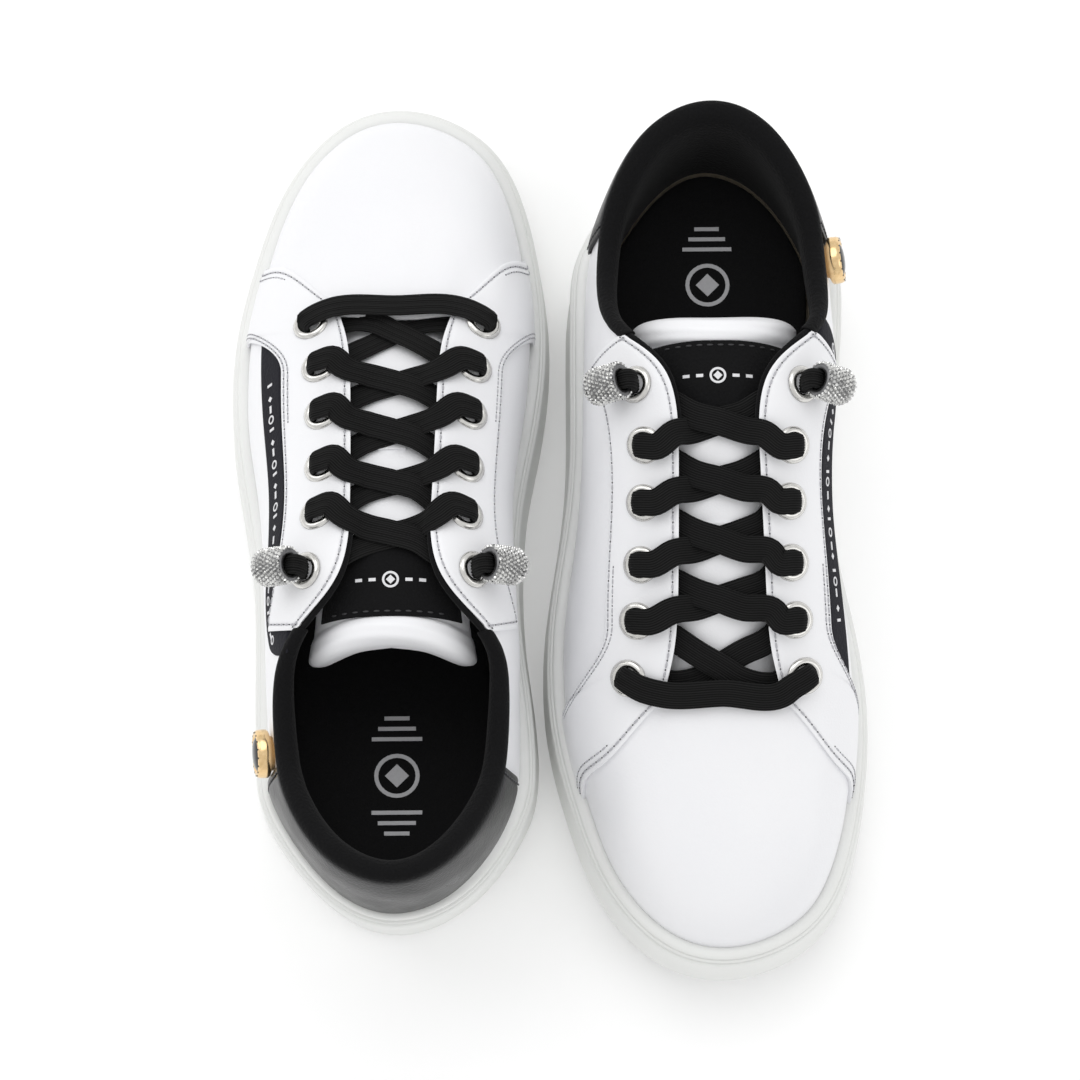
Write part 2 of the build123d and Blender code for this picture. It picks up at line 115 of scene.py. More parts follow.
class Last:
    """One shoe's last; hand -1 mirrors the sole's outline."""

    def __init__(self, hand):
        rows = STATIONS.astype(float)
        if hand < 0:
            rows = np.roll(rows[::-1], 1, axis=0)
            rows[:, [0, 2]] *= -1
        matrix = 4 * np.eye(LOOP) + np.roll(np.eye(LOOP), 1, axis=1) + np.roll(np.eye(LOOP), -1, axis=1)
        self.rows = rows
        self.slopes = np.linalg.solve(matrix, 3 * (np.roll(rows, -1, axis=0) - np.roll(rows, 1, axis=0)))

    def station(self, a):
        """The smooth row of the table at any place round the shoe, and how fast it changes."""
        a = np.asarray(a, float)
        i = np.floor(a).astype(int) % LOOP
        u = (a - np.floor(a))[..., None]
        p, q = self.rows[i], self.rows[(i + 1) % LOOP]
        m, n = self.slopes[i], self.slopes[(i + 1) % LOOP]
        row = (2*u**3 - 3*u**2 + 1)*p + (u**3 - 2*u**2 + u)*m + (3*u**2 - 2*u**3)*q + (u**3 - u**2)*n
        rate = 6*(u**2 - u)*(p - q) + (3*u**2 - 4*u + 1)*m + (3*u**2 - 2*u)*n
        return row, rate

    def edge(self, a, inset):
        """The sole's outline, moved in by inset, as x, y."""
        row, rate = self.station(a)
        along = rate[..., :2] / np.linalg.norm(rate[..., :2], axis=-1, keepdims=True)
        inward = np.stack([along[..., 1], -along[..., 0]], axis=-1)
        return row[..., :2] + np.asarray(inset, float)[..., None] * inward

    def wall(self, a, t):
        """A point of the upper: a is how far round, t is how far up."""
        a, t = np.broadcast_arrays(np.asarray(a, float), np.asarray(t, float))
        row, _ = self.station(a)
        foot, edge = self.edge(a, FEATHER), self.edge(a, 0)
        low = np.concatenate([foot, (lip_height(foot[..., 1]) - TUCK)[..., None]], axis=-1)
        top = row[..., 2:5]
        flat = low[..., :2] - top[..., :2] + OUTWARD_PULL * (edge - foot) / FEATHER
        out = np.concatenate([flat, np.zeros_like(flat[..., :1])], axis=-1)
        out /= np.linalg.norm(out, axis=-1, keepdims=True)
        up = np.array([0, 0, 1.0])
        lean, rise, reach = row[..., 5:6], row[..., 6:7], row[..., 8:9]
        slope = np.radians(row[..., 7:8])
        c1 = low + lean * out + rise * up
        c2 = top + reach * (np.cos(slope) * out - np.sin(slope) * up)
        t = t[..., None]
        s = 1 - t
        return s**3 * low + 3*s*s*t * c1 + 3*s*t*t * c2 + t**3 * top

    def normal(self, a, t):
        """The way out of the upper."""
        a, t = np.broadcast_arrays(np.asarray(a, float), np.asarray(t, float))
        along = self.wall(a + STEP, t) - self.wall(a - STEP, t)
        rise = self.wall(a, np.minimum(t + STEP, 1)) - self.wall(a, np.maximum(t - STEP, 0))
        out = np.cross(rise, along)
        return out / np.linalg.norm(out, axis=-1, keepdims=True)

    def find(self, x, y):
        """How far round and how far up the place x, y lies, seen from above."""
        a, t = np.meshgrid(np.arange(0, LOOP, 0.25), np.arange(0.4, 1, 0.04))
        gap = np.hypot(*np.moveaxis(self.wall(a, t)[..., :2] - (x, y), -1, 0))
        best = np.unravel_index(gap.argmin(), gap.shape)
        at = np.array([a[best], t[best]])
        for _ in range(8):
            here = self.wall(*at)[:2]
            slopes = [(self.wall(at[0] + STEP, at[1])[:2] - here) / STEP,
                      (self.wall(at[0], at[1] + STEP)[:2] - here) / STEP]
            at = at + np.linalg.solve(np.array(slopes).T, np.array([x, y]) - here)
        return at


class Shoe:
    """Where one shoe stands: its last, its bodies, and the way from its own millimetres into the frame."""

    def __init__(self, side, hand):
        self.side, self.last = side, Last(hand)
        pull = JOINTS[f"tongue_pull_{side}"]
        across = -Vector(pull["axis"]).normalized()
        self.turn = np.array([across, Vector((0, 0, 1)).cross(across), (0, 0, 1)]).T
        hinge = self.turn @ np.array([0, TONGUE_SPLIT, 0]) * MM
        self.at = np.array(pull["pos_m"]) * (1, 1, 0) - hinge
        self.sewn = {}

    def put(self, points):
        """The shoe's own millimetres as metres in the frame."""
        return np.asarray(points, float) @ self.turn.T * MM + self.at


TONGUE_SPLIT = -35.0
SHOES = [Shoe("left", 1), Shoe("right", -1)]
print("left shoe stands at", np.round(SHOES[0].at, 4), "right shoe at", np.round(SHOES[1].at, 4))

# %% [markdown]
# ## Camera, floor and light
# The pair is seen from almost straight above. The camera stands well back with a long lens, three wide soft
# lights hang over a pale floor, and the world fills the shadows. The floor glows a little, as paper lit from
# all round does, and is clear from below, so that the soles can be seen.

# %% Camera, floor, lights
CAMERA_AT, CAMERA_TILT, CAMERA_LENS = (-2.2, -349.5, 1329.4), 14.88, 139.56
WORLD_LIGHT, FLOOR_GLOW, FLOOR_SIZE = 0.84, 0.11, 3


def add_camera():
    data = bpy.data.cameras.new("camera")
    data.lens, data.sensor_width = CAMERA_LENS, 36
    camera = bpy.data.objects.new("camera", data)
    camera.location = [value * MM for value in CAMERA_AT]
    camera.rotation_euler = (math.radians(CAMERA_TILT), 0, 0)
    bpy.context.scene.collection.objects.link(camera)
    bpy.context.scene.camera = camera


def add_light(name, place, size, power):
    data = bpy.data.lights.new(name, "AREA")
    data.shape, data.size, data.energy = "DISK", size, power
    light = bpy.data.objects.new(name, data)
    light.location = place
    light.rotation_euler = (-Vector(place)).to_track_quat("-Z", "Y").to_euler()
    bpy.context.scene.collection.objects.link(light)


def shader(name, color, roughness, **sockets):
    """A new material, its nodes and its Principled shader."""
    made = bpy.data.materials.new(name)
    made.use_nodes = True
    bsdf = made.node_tree.nodes["Principled BSDF"]
    bsdf.inputs["Base Color"].default_value = (*color, 1)
    bsdf.inputs["Roughness"].default_value = roughness
    for socket, value in sockets.items():
        bsdf.inputs[socket.replace("_", " ")].default_value = value
    return made


def link_piece(name, bm, *materials, smooth=True):
    """Turns a bmesh into a finished object with its materials."""
    mesh = bpy.data.meshes.new(name)
    bm.to_mesh(mesh)
    bm.free()
    for made in materials:
        mesh.materials.append(made)
    if smooth:
        mesh.shade_smooth()
    piece = bpy.data.objects.new(name, mesh)
    bpy.context.scene.collection.objects.link(piece)
    return piece


def see_from_below(made):
    """Lets a camera under the floor look through it."""
    nodes, links = made.node_tree.nodes, made.node_tree.links
    paper, out = nodes["Principled BSDF"], nodes["Material Output"]
    side, clear, mix = (nodes.new(f"ShaderNode{kind}") for kind in ("NewGeometry", "BsdfTransparent", "MixShader"))
    links.new(side.outputs["Backfacing"], mix.inputs["Fac"])
    links.new(paper.outputs["BSDF"], mix.inputs[1])
    links.new(clear.outputs["BSDF"], mix.inputs[2])
    links.new(mix.outputs["Shader"], out.inputs["Surface"])
    return made


add_camera()
add_light("overhead", (-0.2, 0.7, 1.5), 1.4, 6)
add_light("window", (-1.2, 0.5, 0.9), 0.8, 2)
add_light("fill", (1.2, -0.4, 0.9), 0.8, 1.2)
world = bpy.data.worlds.new("studio")
world.use_nodes = True
world.node_tree.nodes["Background"].inputs["Color"].default_value = (1, 1, 1, 1)
world.node_tree.nodes["Background"].inputs["Strength"].default_value = WORLD_LIGHT
bpy.context.scene.world = world
bpy.context.scene.view_settings.view_transform = "Standard"
floor_mesh = bmesh.new()
bmesh.ops.create_grid(floor_mesh, x_segments=1, y_segments=1, size=FLOOR_SIZE)
PAPER = shader("paper", (0.93, 0.93, 0.93), 0.9, Emission_Color=(1, 1, 1, 1), Emission_Strength=FLOOR_GLOW)
link_piece("floor", floor_mesh, see_from_below(PAPER), smooth=False)
print("camera, three lights and the floor are in place")

# %% [markdown]
# ## Finishes
# Every finish is worked out by nodes from Object coordinates, in metres, so a grain of half a millimetre is a
# noise of scale 2000. A small helper makes a bump from any texture, because each finish uses one.

# %% Helpers for finishes


def nodes_of(made):
    return made.node_tree.nodes, made.node_tree.links


def texture(made, kind, scale, source="Object", **settings):
    """A texture node that reads the piece's own coordinates."""
    nodes, links = nodes_of(made)
    coords = nodes.new("ShaderNodeTexCoord")
    found = nodes.new(kind)
    found.inputs["Scale"].default_value = scale
    for key, value in settings.items():
        if key in found.inputs:
            found.inputs[key].default_value = value
        else:
            setattr(found, key, value)
    links.new(coords.outputs[source], found.inputs["Vector"])
    return found


def bump(made, height, strength, distance, under=None):
    """Adds a bump from a height output to the shader, over an earlier one if given."""
    nodes, links = nodes_of(made)
    made_bump = nodes.new("ShaderNodeBump")
    made_bump.inputs["Strength"].default_value = strength
    made_bump.inputs["Distance"].default_value = distance
    links.new(height, made_bump.inputs["Height"])
    if under:
        links.new(under.outputs["Normal"], made_bump.inputs["Normal"])
    links.new(made_bump.outputs["Normal"], nodes["Principled BSDF"].inputs["Normal"])
    return made_bump


def vary(made, socket, factor, low, high):
    """Lets a value or a colour drift between two ends with a texture."""
    nodes, links = nodes_of(made)
    ramp = nodes.new("ShaderNodeMix")
    ramp.data_type = "RGBA" if isinstance(low, tuple) else "FLOAT"
    pins = [pin for pin in ramp.inputs if pin.enabled and pin.name in ("Factor", "A", "B")]
    for pin, value in zip(pins[1:], (low, high)):
        pin.default_value = (*value, 1) if isinstance(value, tuple) else value
    links.new(factor, pins[0])
    out = [pin for pin in ramp.outputs if pin.enabled][0]
    links.new(out, nodes["Principled BSDF"].inputs[socket])
    return out


# %% [markdown]
# ### Leather, rubber and cloth
# White shoe leather is coated split: a soft satin film over a fine pebble. The heel patch is the same leather
# with a gloss film. The sole is moulded rubber, a touch greyer and duller. Linings are brushed textile, which
# catches light at grazing angles, so they get sheen instead of gloss.

# %% Leather, rubber and cloth finishes


def make_white_leather():
    made = shader("white_leather", (0.86, 0.865, 0.885), 0.42, Coat_Weight=0.12, Coat_Roughness=0.3)
    pebble = texture(made, "ShaderNodeTexVoronoi", 1500)
    cloud = texture(made, "ShaderNodeTexNoise", 45, Detail=3.0)
    vary(made, "Base Color", cloud.outputs["Fac"], (0.845, 0.85, 0.875), (0.885, 0.885, 0.9))
    vary(made, "Roughness", cloud.outputs["Fac"], 0.36, 0.48)
    first = bump(made, pebble.outputs["Distance"], 0.12, 0.0003)
    bump(made, texture(made, "ShaderNodeTexNoise", 260, Detail=4.0).outputs["Fac"], 0.10, 0.0006, first)
    return made


def make_black_leather():
    made = shader("black_leather", (0.008, 0.008, 0.009), 0.32, Coat_Weight=0.04, Coat_Roughness=0.12, IOR=1.22)
    pebble = texture(made, "ShaderNodeTexVoronoi", 900)
    cloud = texture(made, "ShaderNodeTexNoise", 90, Detail=3.0)
    vary(made, "Roughness", cloud.outputs["Fac"], 0.22, 0.4)
    first = bump(made, pebble.outputs["Distance"], 0.22, 0.0003)
    bump(made, cloud.outputs["Fac"], 0.12, 0.0008, first)
    return made


def make_cloth(name, color, light, scale, strength):
    made = shader(name, color, 0.95, Sheen_Weight=0.05, Sheen_Roughness=0.5, Specular_IOR_Level=0.10)
    fibre = texture(made, "ShaderNodeTexNoise", scale, Detail=5.0, Roughness=0.7)
    vary(made, "Base Color", fibre.outputs["Fac"], color, light)
    knit = texture(made, "ShaderNodeTexVoronoi", scale * 0.6)
    first = bump(made, knit.outputs["Distance"], strength, 0.0004)
    bump(made, fibre.outputs["Fac"], strength, 0.0003, first)
    return made


def make_rubber():
    made = shader("sole_rubber", (0.80, 0.81, 0.79), 0.5)
    cloud = texture(made, "ShaderNodeTexNoise", 60, Detail=4.0)
    vary(made, "Base Color", cloud.outputs["Fac"], (0.78, 0.79, 0.77), (0.83, 0.835, 0.82))
    vary(made, "Roughness", cloud.outputs["Fac"], 0.44, 0.58)
    bump(made, texture(made, "ShaderNodeTexNoise", 1800, Detail=2.0).outputs["Fac"], 0.06, 0.0002)
    return made


def make_lace_cloth():
    """Woven elastic: fine ribs along the band and a finer weft across it, from the band's own UV in millimetres."""
    made = shader("black_lace", (0.010, 0.010, 0.010), 0.85, Sheen_Weight=0.03, Sheen_Roughness=0.4,
                  Specular_IOR_Level=0.12)
    ribs = texture(made, "ShaderNodeTexWave", 0.42, "UV", bands_direction="Y", Distortion=0.4)
    weft = texture(made, "ShaderNodeTexWave", 1.1, "UV", bands_direction="X", Distortion=0.6)
    vary(made, "Base Color", ribs.outputs["Fac"], (0.004, 0.004, 0.004), (0.016, 0.016, 0.016))
    first = bump(made, ribs.outputs["Fac"], 0.5, 0.00025)
    bump(made, weft.outputs["Fac"], 0.35, 0.00012, first)
    return made


WHITE_LEATHER = make_white_leather()
BLACK_LEATHER = make_black_leather()
RUBBER = make_rubber()
LINING = make_cloth("black_lining", (0.003, 0.003, 0.003), (0.010, 0.010, 0.011), 1500, 0.5)
FOOTBED_CLOTH = make_cloth("footbed_cloth", (0.006, 0.006, 0.006), (0.014, 0.014, 0.015), 2200, 0.35)
LACE_CLOTH = make_lace_cloth()
print("leather, rubber and cloth finishes made")

# %% [markdown]
# ### Metal, crystal, thread and print
# Eyelets are nickel with a worn, slightly uneven polish. The stud is gold plate round a domed black enamel. The
# crystals are foil-backed glass, drawn as bright metal facets; each stone is painted dark or bright at random, as
# painted glints and dark reflections. Printed motifs are a flat off-white ink.

# %% Metal, crystal, thread and print finishes


def make_metal(name, dark, light, low, high, metallic=1.0):
    made = shader(name, light, low, Metallic=metallic)
    cloud = texture(made, "ShaderNodeTexNoise", 700, Detail=3.0)
    vary(made, "Base Color", cloud.outputs["Fac"], dark, light)
    vary(made, "Roughness", cloud.outputs["Fac"], low, high)
    return made


def make_crystal():
    made = shader("crystal", (0.9, 0.9, 0.92), 0.06, Metallic=1.0)
    # Stones are painted dark or bright cell by cell: painted glints and dark reflections of the facets.
    painted_glints = texture(made, "ShaderNodeTexVoronoi", 900)
    vary(made, "Base Color", painted_glints.outputs["Color"], (0.30, 0.30, 0.30), (0.95, 0.95, 0.93))
    return made


def make_print(name, color):
    made = shader(name, color, 0.55)
    speckle = texture(made, "ShaderNodeTexNoise", 1600, Detail=2.0)
    vary(made, "Base Color", speckle.outputs["Fac"], tuple(0.82 * part for part in color), color)
    bump(made, speckle.outputs["Fac"], 0.15, 0.0001)
    return made


NICKEL = make_metal("nickel", (0.55, 0.54, 0.52), (0.83, 0.82, 0.79), 0.16, 0.32)
GOLD = make_metal("gold", (0.72, 0.48, 0.22), (0.95, 0.72, 0.42), 0.14, 0.28)
BEAD_METAL = make_metal("bead_setting", (0.12, 0.12, 0.12), (0.32, 0.32, 0.33), 0.3, 0.5)
CRYSTAL = make_crystal()
ENAMEL = make_metal("black_enamel", (0.006, 0.006, 0.007), (0.012, 0.012, 0.014), 0.05, 0.12, metallic=0)
# The white thread is painted mid grey: painted shade on stitches sunk in their troughs.
WHITE_THREAD_PAINTED_SHADE = make_print("white_thread_painted_shade", (0.52, 0.52, 0.55))
BLACK_THREAD = make_print("black_thread", (0.03, 0.03, 0.032))
# Needle holes are dark dimples: painted shade inside each hole.
NEEDLE_HOLE_PAINTED_SHADE = make_print("needle_hole_painted_shade", (0.10, 0.10, 0.11))
SILVER_PRINT = make_print("silver_print", (0.62, 0.62, 0.64))
WHITE_PRINT = make_print("white_print", (0.8, 0.8, 0.82))
# The cut edge is a raw leather edge made near black as painted shade of the shadow line along each overlay's edge.
# It is each panel's second material, which no face uses.
CUT_EDGE_PAINTED_SHADE = make_print("cut_edge_painted_shade", (0.06, 0.06, 0.065))
print("metal, crystal, thread and print finishes made")

# %% [markdown]
# ## Shared ways of making a piece
# Four shapes make nearly everything here. A skin is a grid sent through the last. A ring loft runs round the
# sole's outline through a profile. A band is a flat strip swept along a path. A spun shape is a profile turned
# round an axis. Each starts from a bmesh operator, so seams and poles can be merged and closed.

# %% Grids, rings, bands and spun shapes
STITCH_PITCH, STITCH_LENGTH, STITCH_R, RIB_DEPTH = 3.0, 2.1, 0.34, 0.16


def eased(u):
    """Spreads values so that they crowd towards both ends, where edges roll and stitches lie."""
    return 0.7 * (0.5 - 0.5 * np.cos(np.pi * u)) + 0.3 * u


def unit(v):
    return v / np.linalg.norm(v, axis=-1, keepdims=True)


def run_along(points):
    """How far along a line each of its points is."""
    return np.concatenate([[0], np.cumsum(np.linalg.norm(np.diff(points, axis=0), axis=1))])


def shaped_grid(points, uvs=None):
    """A bmesh grid whose corners take the places points[i, j]."""
    columns, rows = points.shape[0] - 1, points.shape[1] - 1
    bm = bmesh.new()
    bmesh.ops.create_grid(bm, x_segments=columns, y_segments=rows, size=0.5)
    places = {vert: (round((vert.co.x + 0.5) * columns), round((vert.co.y + 0.5) * rows)) for vert in bm.verts}
    if uvs is not None:
        layer = bm.loops.layers.uv.new("UVMap")
        for face in bm.faces:
            for loop in face.loops:
                loop[layer].uv = uvs[places[loop.vert]]
    for vert, place in places.items():
        vert.co = points[place]
    return bm


def close_up(bm, gap=1e-6):
    """Merges a seam, closes the ends and points the faces outwards."""
    bmesh.ops.remove_doubles(bm, verts=bm.verts, dist=gap)
    bmesh.ops.holes_fill(bm, edges=[edge for edge in bm.edges if edge.is_boundary], sides=0)
    bmesh.ops.recalc_face_normals(bm, faces=bm.faces)
    return bm


def band(path, ups, widths, thicks, shoe, around=24, ribs=0):
    """A flat strip with rounded edges swept along a path; its UV runs in millimetres."""
    along = unit(np.gradient(path, axis=0))
    across = unit(np.cross(along, ups))
    face = np.cross(across, along)
    angle = np.linspace(0, 2 * np.pi, around + 1)
    c, s = np.cos(angle), np.sin(angle)
    side, face_height = np.sign(c) * np.abs(c) ** 0.85, np.sign(s) * np.abs(s) ** 0.5
    x = side * np.asarray(widths)[:, None] / 2
    z = face_height * np.asarray(thicks)[:, None] / 2
    if ribs:
        z = z * (1 + RIB_DEPTH * np.cos(np.pi * ribs * side) * np.abs(s) ** 0.3)
    points = path[:, None] + across[:, None] * x[..., None] + face[:, None] * z[..., None]
    run = run_along(path)
    uvs = np.stack(np.broadcast_arrays(run[:, None], x), axis=-1)
    return close_up(shaped_grid(shoe.put(points), uvs))


def smooth_path(points, count, *tracks):
    """A smooth line through the points, with other values carried along it."""
    points = np.array(points, float)
    run = run_along(points)
    slopes = np.gradient(points, run, axis=0)
    at = np.linspace(0, run[-1], count)
    i = np.clip(np.searchsorted(run, at, side="right") - 1, 0, len(run) - 2)
    h = (run[i + 1] - run[i])[:, None]
    u = (at - run[i])[:, None] / h
    line = ((2*u**3 - 3*u**2 + 1) * points[i] + (u**3 - 2*u**2 + u) * h * slopes[i]
            + (3*u**2 - 2*u**3) * points[i + 1] + (u**3 - u**2) * h * slopes[i + 1])
    carried = []
    for track in tracks:
        track = np.array(track, float)
        if track.ndim == 1:
            carried.append(np.interp(at, run, track))
        else:
            carried.append(unit(np.stack([np.interp(at, run, track[:, k]) for k in range(3)], axis=-1)))
    return line, *carried


def spun(profile, steps=40):
    """A closed shape turned round Z from (radius, height) points, in millimetres."""
    bm = bmesh.new()
    verts = [bm.verts.new((r, 0, z)) for r, z in profile]
    edges = [bm.edges.new(pair) for pair in zip(verts, verts[1:])]
    bmesh.ops.spin(bm, geom=verts + edges, cent=(0, 0, 0), axis=(0, 0, 1), angle=2 * math.pi,
                   steps=steps, use_merge=True)
    bmesh.ops.remove_doubles(bm, verts=bm.verts, dist=1e-4)
    bmesh.ops.recalc_face_normals(bm, faces=bm.faces)
    return bm


def seat(shoe, point, up, ahead=(0, 1, 0)):
    """The matrix that stands a piece made in millimetres on a point of the shoe."""
    up = unit(np.asarray(up, float))
    side = unit(np.cross(ahead, up))
    turn = shoe.turn @ np.stack([side, np.cross(up, side), up], axis=1) * MM
    rows = np.hstack([turn, shoe.put(point)[:, None]])
    return Matrix([*rows.tolist(), [0, 0, 0, 1]])


def gather(template, matrices):
    """One bmesh that holds a copy of the template mesh at every matrix."""
    bm = bmesh.new()
    for matrix in matrices:
        placed = template.copy()
        placed.transform(matrix)
        bm.from_mesh(placed)
        bpy.data.meshes.remove(placed)
    return bm


def template_of(bm):
    """The bmesh as a loose mesh that can be copied."""
    mesh = bpy.data.meshes.new("template")
    bm.to_mesh(mesh)
    bm.free()
    return mesh


def joined(parts):
    """One bmesh that holds every part."""
    whole = bmesh.new()
    for part in parts:
        mesh = template_of(part)
        whole.from_mesh(mesh)
        bpy.data.meshes.remove(mesh)
    return whole


def thicken(piece, thick, offset=-1, rounding=0):
    """Gives a sheet its thickness in millimetres, and rounds its cut edges."""
    solid = piece.modifiers.new("thickness", "SOLIDIFY")
    solid.thickness, solid.offset = thick * MM, offset
    if rounding:
        edge = piece.modifiers.new("cut edge", "BEVEL")
        edge.width, edge.segments, edge.limit_method = rounding * MM, 2, "ANGLE"


def soften(piece):
    """Rounds the whole piece once."""
    soft = piece.modifiers.new("soft", "SUBSURF")
    soft.levels = soft.render_levels = 1


def give(piece, body, slot, *nodes):
    """Lets a finished piece ride on its body in place of CAD nodes; the slot is not used."""
    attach(piece, body)
    if nodes:
        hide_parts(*nodes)
    return piece


class Skin:
    """A grid on the last. place(u, v) gives how far round and how far up; gaps are measured to each edge."""

    def __init__(self, shoe, place, along, across):
        u, v = np.meshgrid(eased(np.linspace(0, 1, along + 1)), eased(np.linspace(0, 1, across + 1)), indexing="ij")
        self.shoe = shoe
        self.a, self.t = place(u, v)
        self.base = shoe.last.wall(self.a, self.t)
        self.out = shoe.last.normal(self.a, self.t)
        start = np.cumsum(np.pad(np.linalg.norm(np.diff(self.base, axis=0), axis=-1), ((1, 0), (0, 0))), axis=0)
        foot = np.cumsum(np.pad(np.linalg.norm(np.diff(self.base, axis=1), axis=-1), ((0, 0), (1, 0))), axis=1)
        self.gap = {"start": start, "end": start[-1] - start, "foot": foot, "top": foot[:, -1:] - foot}

    def bmesh(self, height):
        bm = shaped_grid(self.shoe.put(self.base + self.out * np.asarray(height)[..., None]))
        i, j = self.a.shape[0] // 2, self.a.shape[1] // 2
        turn = np.cross(self.base[i + 1, j] - self.base[i, j], self.base[i, j + 1] - self.base[i, j])
        if turn @ self.out[i, j] < 0:
            bmesh.ops.reverse_faces(bm, faces=bm.faces)
        return bm

    def row(self, edge, distance):
        """Where a line runs, that many millimetres inside an edge."""
        gap, a, t = self.gap[edge], self.a, self.t
        if edge in ("start", "end"):
            gap, a, t = gap.T, a.T, t.T
        found = []
        for line, line_a, line_t in zip(gap, a, t):
            order = np.argsort(line)
            found.append([np.interp(distance, line[order], track[order]) for track in (line_a, line_t)])
        return np.array(found).T

    def groove(self, rows, deep=0.28, wide=0.8):
        """How deep the leather is pulled in along its stitched rows."""
        depth = np.zeros_like(self.a)
        for edge, distance in rows:
            depth += deep * np.exp(-((self.gap[edge] - distance) / wide) ** 2)
        return depth

    def roll(self, edges, drop=0.45, reach=1.1):
        """How far the leather rolls down at its cut edges."""
        return sum(drop * np.exp(-self.gap[edge] / reach) for edge in edges.split())


def sew(shoe, kind, a, t, height, share=(0, 1)):
    """Lays stitches along a row of the last."""
    points = shoe.last.wall(a, t) + shoe.last.normal(a, t) * height
    run = run_along(points)
    start, stop = share[0] * run[-1], share[1] * run[-1]
    count = max(1, int((stop - start) / STITCH_PITCH))
    at = np.linspace(start, stop, 2 * count + 1)
    where = np.stack([np.interp(at, run, points[:, k]) for k in range(3)], axis=-1)
    normals = shoe.last.normal(np.interp(at, run, a), np.interp(at, run, t))
    ways = unit(np.gradient(where, axis=0))
    for k, (point, normal, way) in enumerate(zip(where, normals, ways)):
        matrix = seat(shoe, point, normal, way)
        shoe.sewn.setdefault("hole" if k % 2 == 0 else kind, []).append(matrix)


print("helpers ready")

# %% [markdown]
# ## The rubber cup
# The sole is one moulding: a wall with a rounded lip at the top, two fine grooves with a bead between, a
# rounded foot and a recessed underside. Running the outline's rings through a profile gives all of it as one
# closed surface. The tread bars stand in the recess as bevelled blocks.

# %% Rubber cup and its tread
RING_STEPS, TREAD_FROM, TREAD_TO = 8, -112, 106
# inset from the outline, share of the way to the middle, share of the height, millimetres added to the height
CUP_PROFILE = [
    (13, 0, 1, -9), (8, 0, 1, -7), (7.2, 0, 1, -4), (6.8, 0, 1, -2), (6.3, 0, 1, -0.7), (5.6, 0, 1, -0.1),
    (4.6, 0, 1, 0.12), (3.5, 0, 1, 0.05), (2.7, 0, 1, -0.3), (2.25, 0, 1, -0.8), (2.1, 0, 1, -1.25), (2.45, 0, 1, -1.55),
    (2.4, 0, 1, -1.8), (1.85, 0, 1, -1.75), (1.4, 0, 1, -1.95), (1.2, 0, 1, -2.35), (1.2, 0, 1, -2.7),
    (1.6, 0, 1, -2.95), (1.55, 0, 1, -3.25), (1.0, 0, 1, -3.25), (0.55, 0, 1, -3.6), (0.3, 0, 1, -4.4),
    (0.2, 0, 1, -6), (0.05, 0, 0.6, 0), (-0.35, 0, 0.3, 0), (-0.8, 0, 0, 4), (-0.9, 0, 0, 2.4), (-0.7, 0, 0, 1.2),
    (-0.1, 0, 0, 0.4), (1.0, 0, 0, 0.02), (3, 0, 0, 0), (6, 0, 0, 0), (7.2, 0, 0, 0.15), (7.6, 0, 0, 0.6),
    (7.7, 0, 0, 1.3), (8.2, 0, 0, 1.6)] + [(11, shrink / 10, 0, 1.6) for shrink in range(11)]
HEEL_UNDERCUT, UNDERCUT_FROM, UNDERCUT_OVER = 3.4, -80.0, 50
BAR_STEP, BAR_WIDTH, BAR_HEIGHT, BAR_MIDDLE, BAR_INSET = 9.0, 5.6, 1.7, 0.95, 11.0


def ring_loft(shoe, profile, low, high):
    """Rings of the outline through a profile, between two heights that change along the shoe."""
    a = np.linspace(0, LOOP, LOOP * RING_STEPS + 1)
    grid = []
    for inset, shrink, share, added in profile:
        back = np.clip((UNDERCUT_FROM - shoe.last.edge(a, 0)[:, 1]) / UNDERCUT_OVER, 0, 1)
        ring = shoe.last.edge(a, inset + HEEL_UNDERCUT * back * (1 - share)) * (1 - shrink)
        floor, roof = low(ring[:, 1]), high(ring[:, 1])
        grid.append(np.column_stack([ring, floor + share * (roof - floor) + added]))
    return close_up(shaped_grid(shoe.put(np.array(grid))))


def make_cup(shoe):
    bm = ring_loft(shoe, CUP_PROFILE, ground_height, lip_height)
    return give(link_piece(f"rubber_cup_{shoe.side}", bm, RUBBER), f"shoe_{shoe.side}", "sole_rubber",
                f"cupsole_{shoe.side}")


def make_tread(shoe):
    """Bars across the recess, as wide as the sole is there."""
    ring = shoe.last.edge(np.linspace(0, LOOP, 520), BAR_INSET)
    bm = bmesh.new()
    for y in np.arange(TREAD_FROM, TREAD_TO, BAR_STEP) + BAR_STEP / 2:
        near = ring[np.abs(ring[:, 1] - y) < 2.5, 0]
        left, right = near[near < 0].max(), near[near > 0].min()
        lift = float(ground_height(y))
        made = bmesh.ops.create_cube(bm, size=1)["verts"]
        bmesh.ops.scale(bm, verts=made, vec=(right - left, BAR_WIDTH, BAR_HEIGHT))
        bmesh.ops.translate(bm, verts=made, vec=((left + right) / 2, y, lift + BAR_MIDDLE))
    bmesh.ops.bevel(bm, geom=bm.edges[:], offset=0.45, affect="EDGES", segments=2, profile=0.5, material=-1)
    bm.transform(seat(shoe, (0, 0, 0), (0, 0, 1)))
    return give(link_piece(f"tread_bars_{shoe.side}", bm, RUBBER), f"shoe_{shoe.side}", "sole_rubber")


for shoe in SHOES:
    print(make_cup(shoe).name, make_tread(shoe).name)

# %% [markdown]
# ## Leather panels
# A cut leather panel has a soft face, edges that roll down, and a shallow trough under each row of stitches. So
# each skin takes its height from how far every point is from the panel's edges. A Solidify modifier gives the
# leather its thickness, and a Bevel rounds the cut edge.

# %% Leather panels
FACE, RAISED = 0.0, 1.65
BRIDGE, BRIDGE_FROM = (0, -10.5, 4.4), 0.8
QUARTER_END, WING_EDGE, STAY_FOOT, STAY_BACK, PATCH_END = 9.72, 10.0, 0.66, 5.0, 2.6
CURVE_FROM, CURVE_TO = 8.45, 9.0


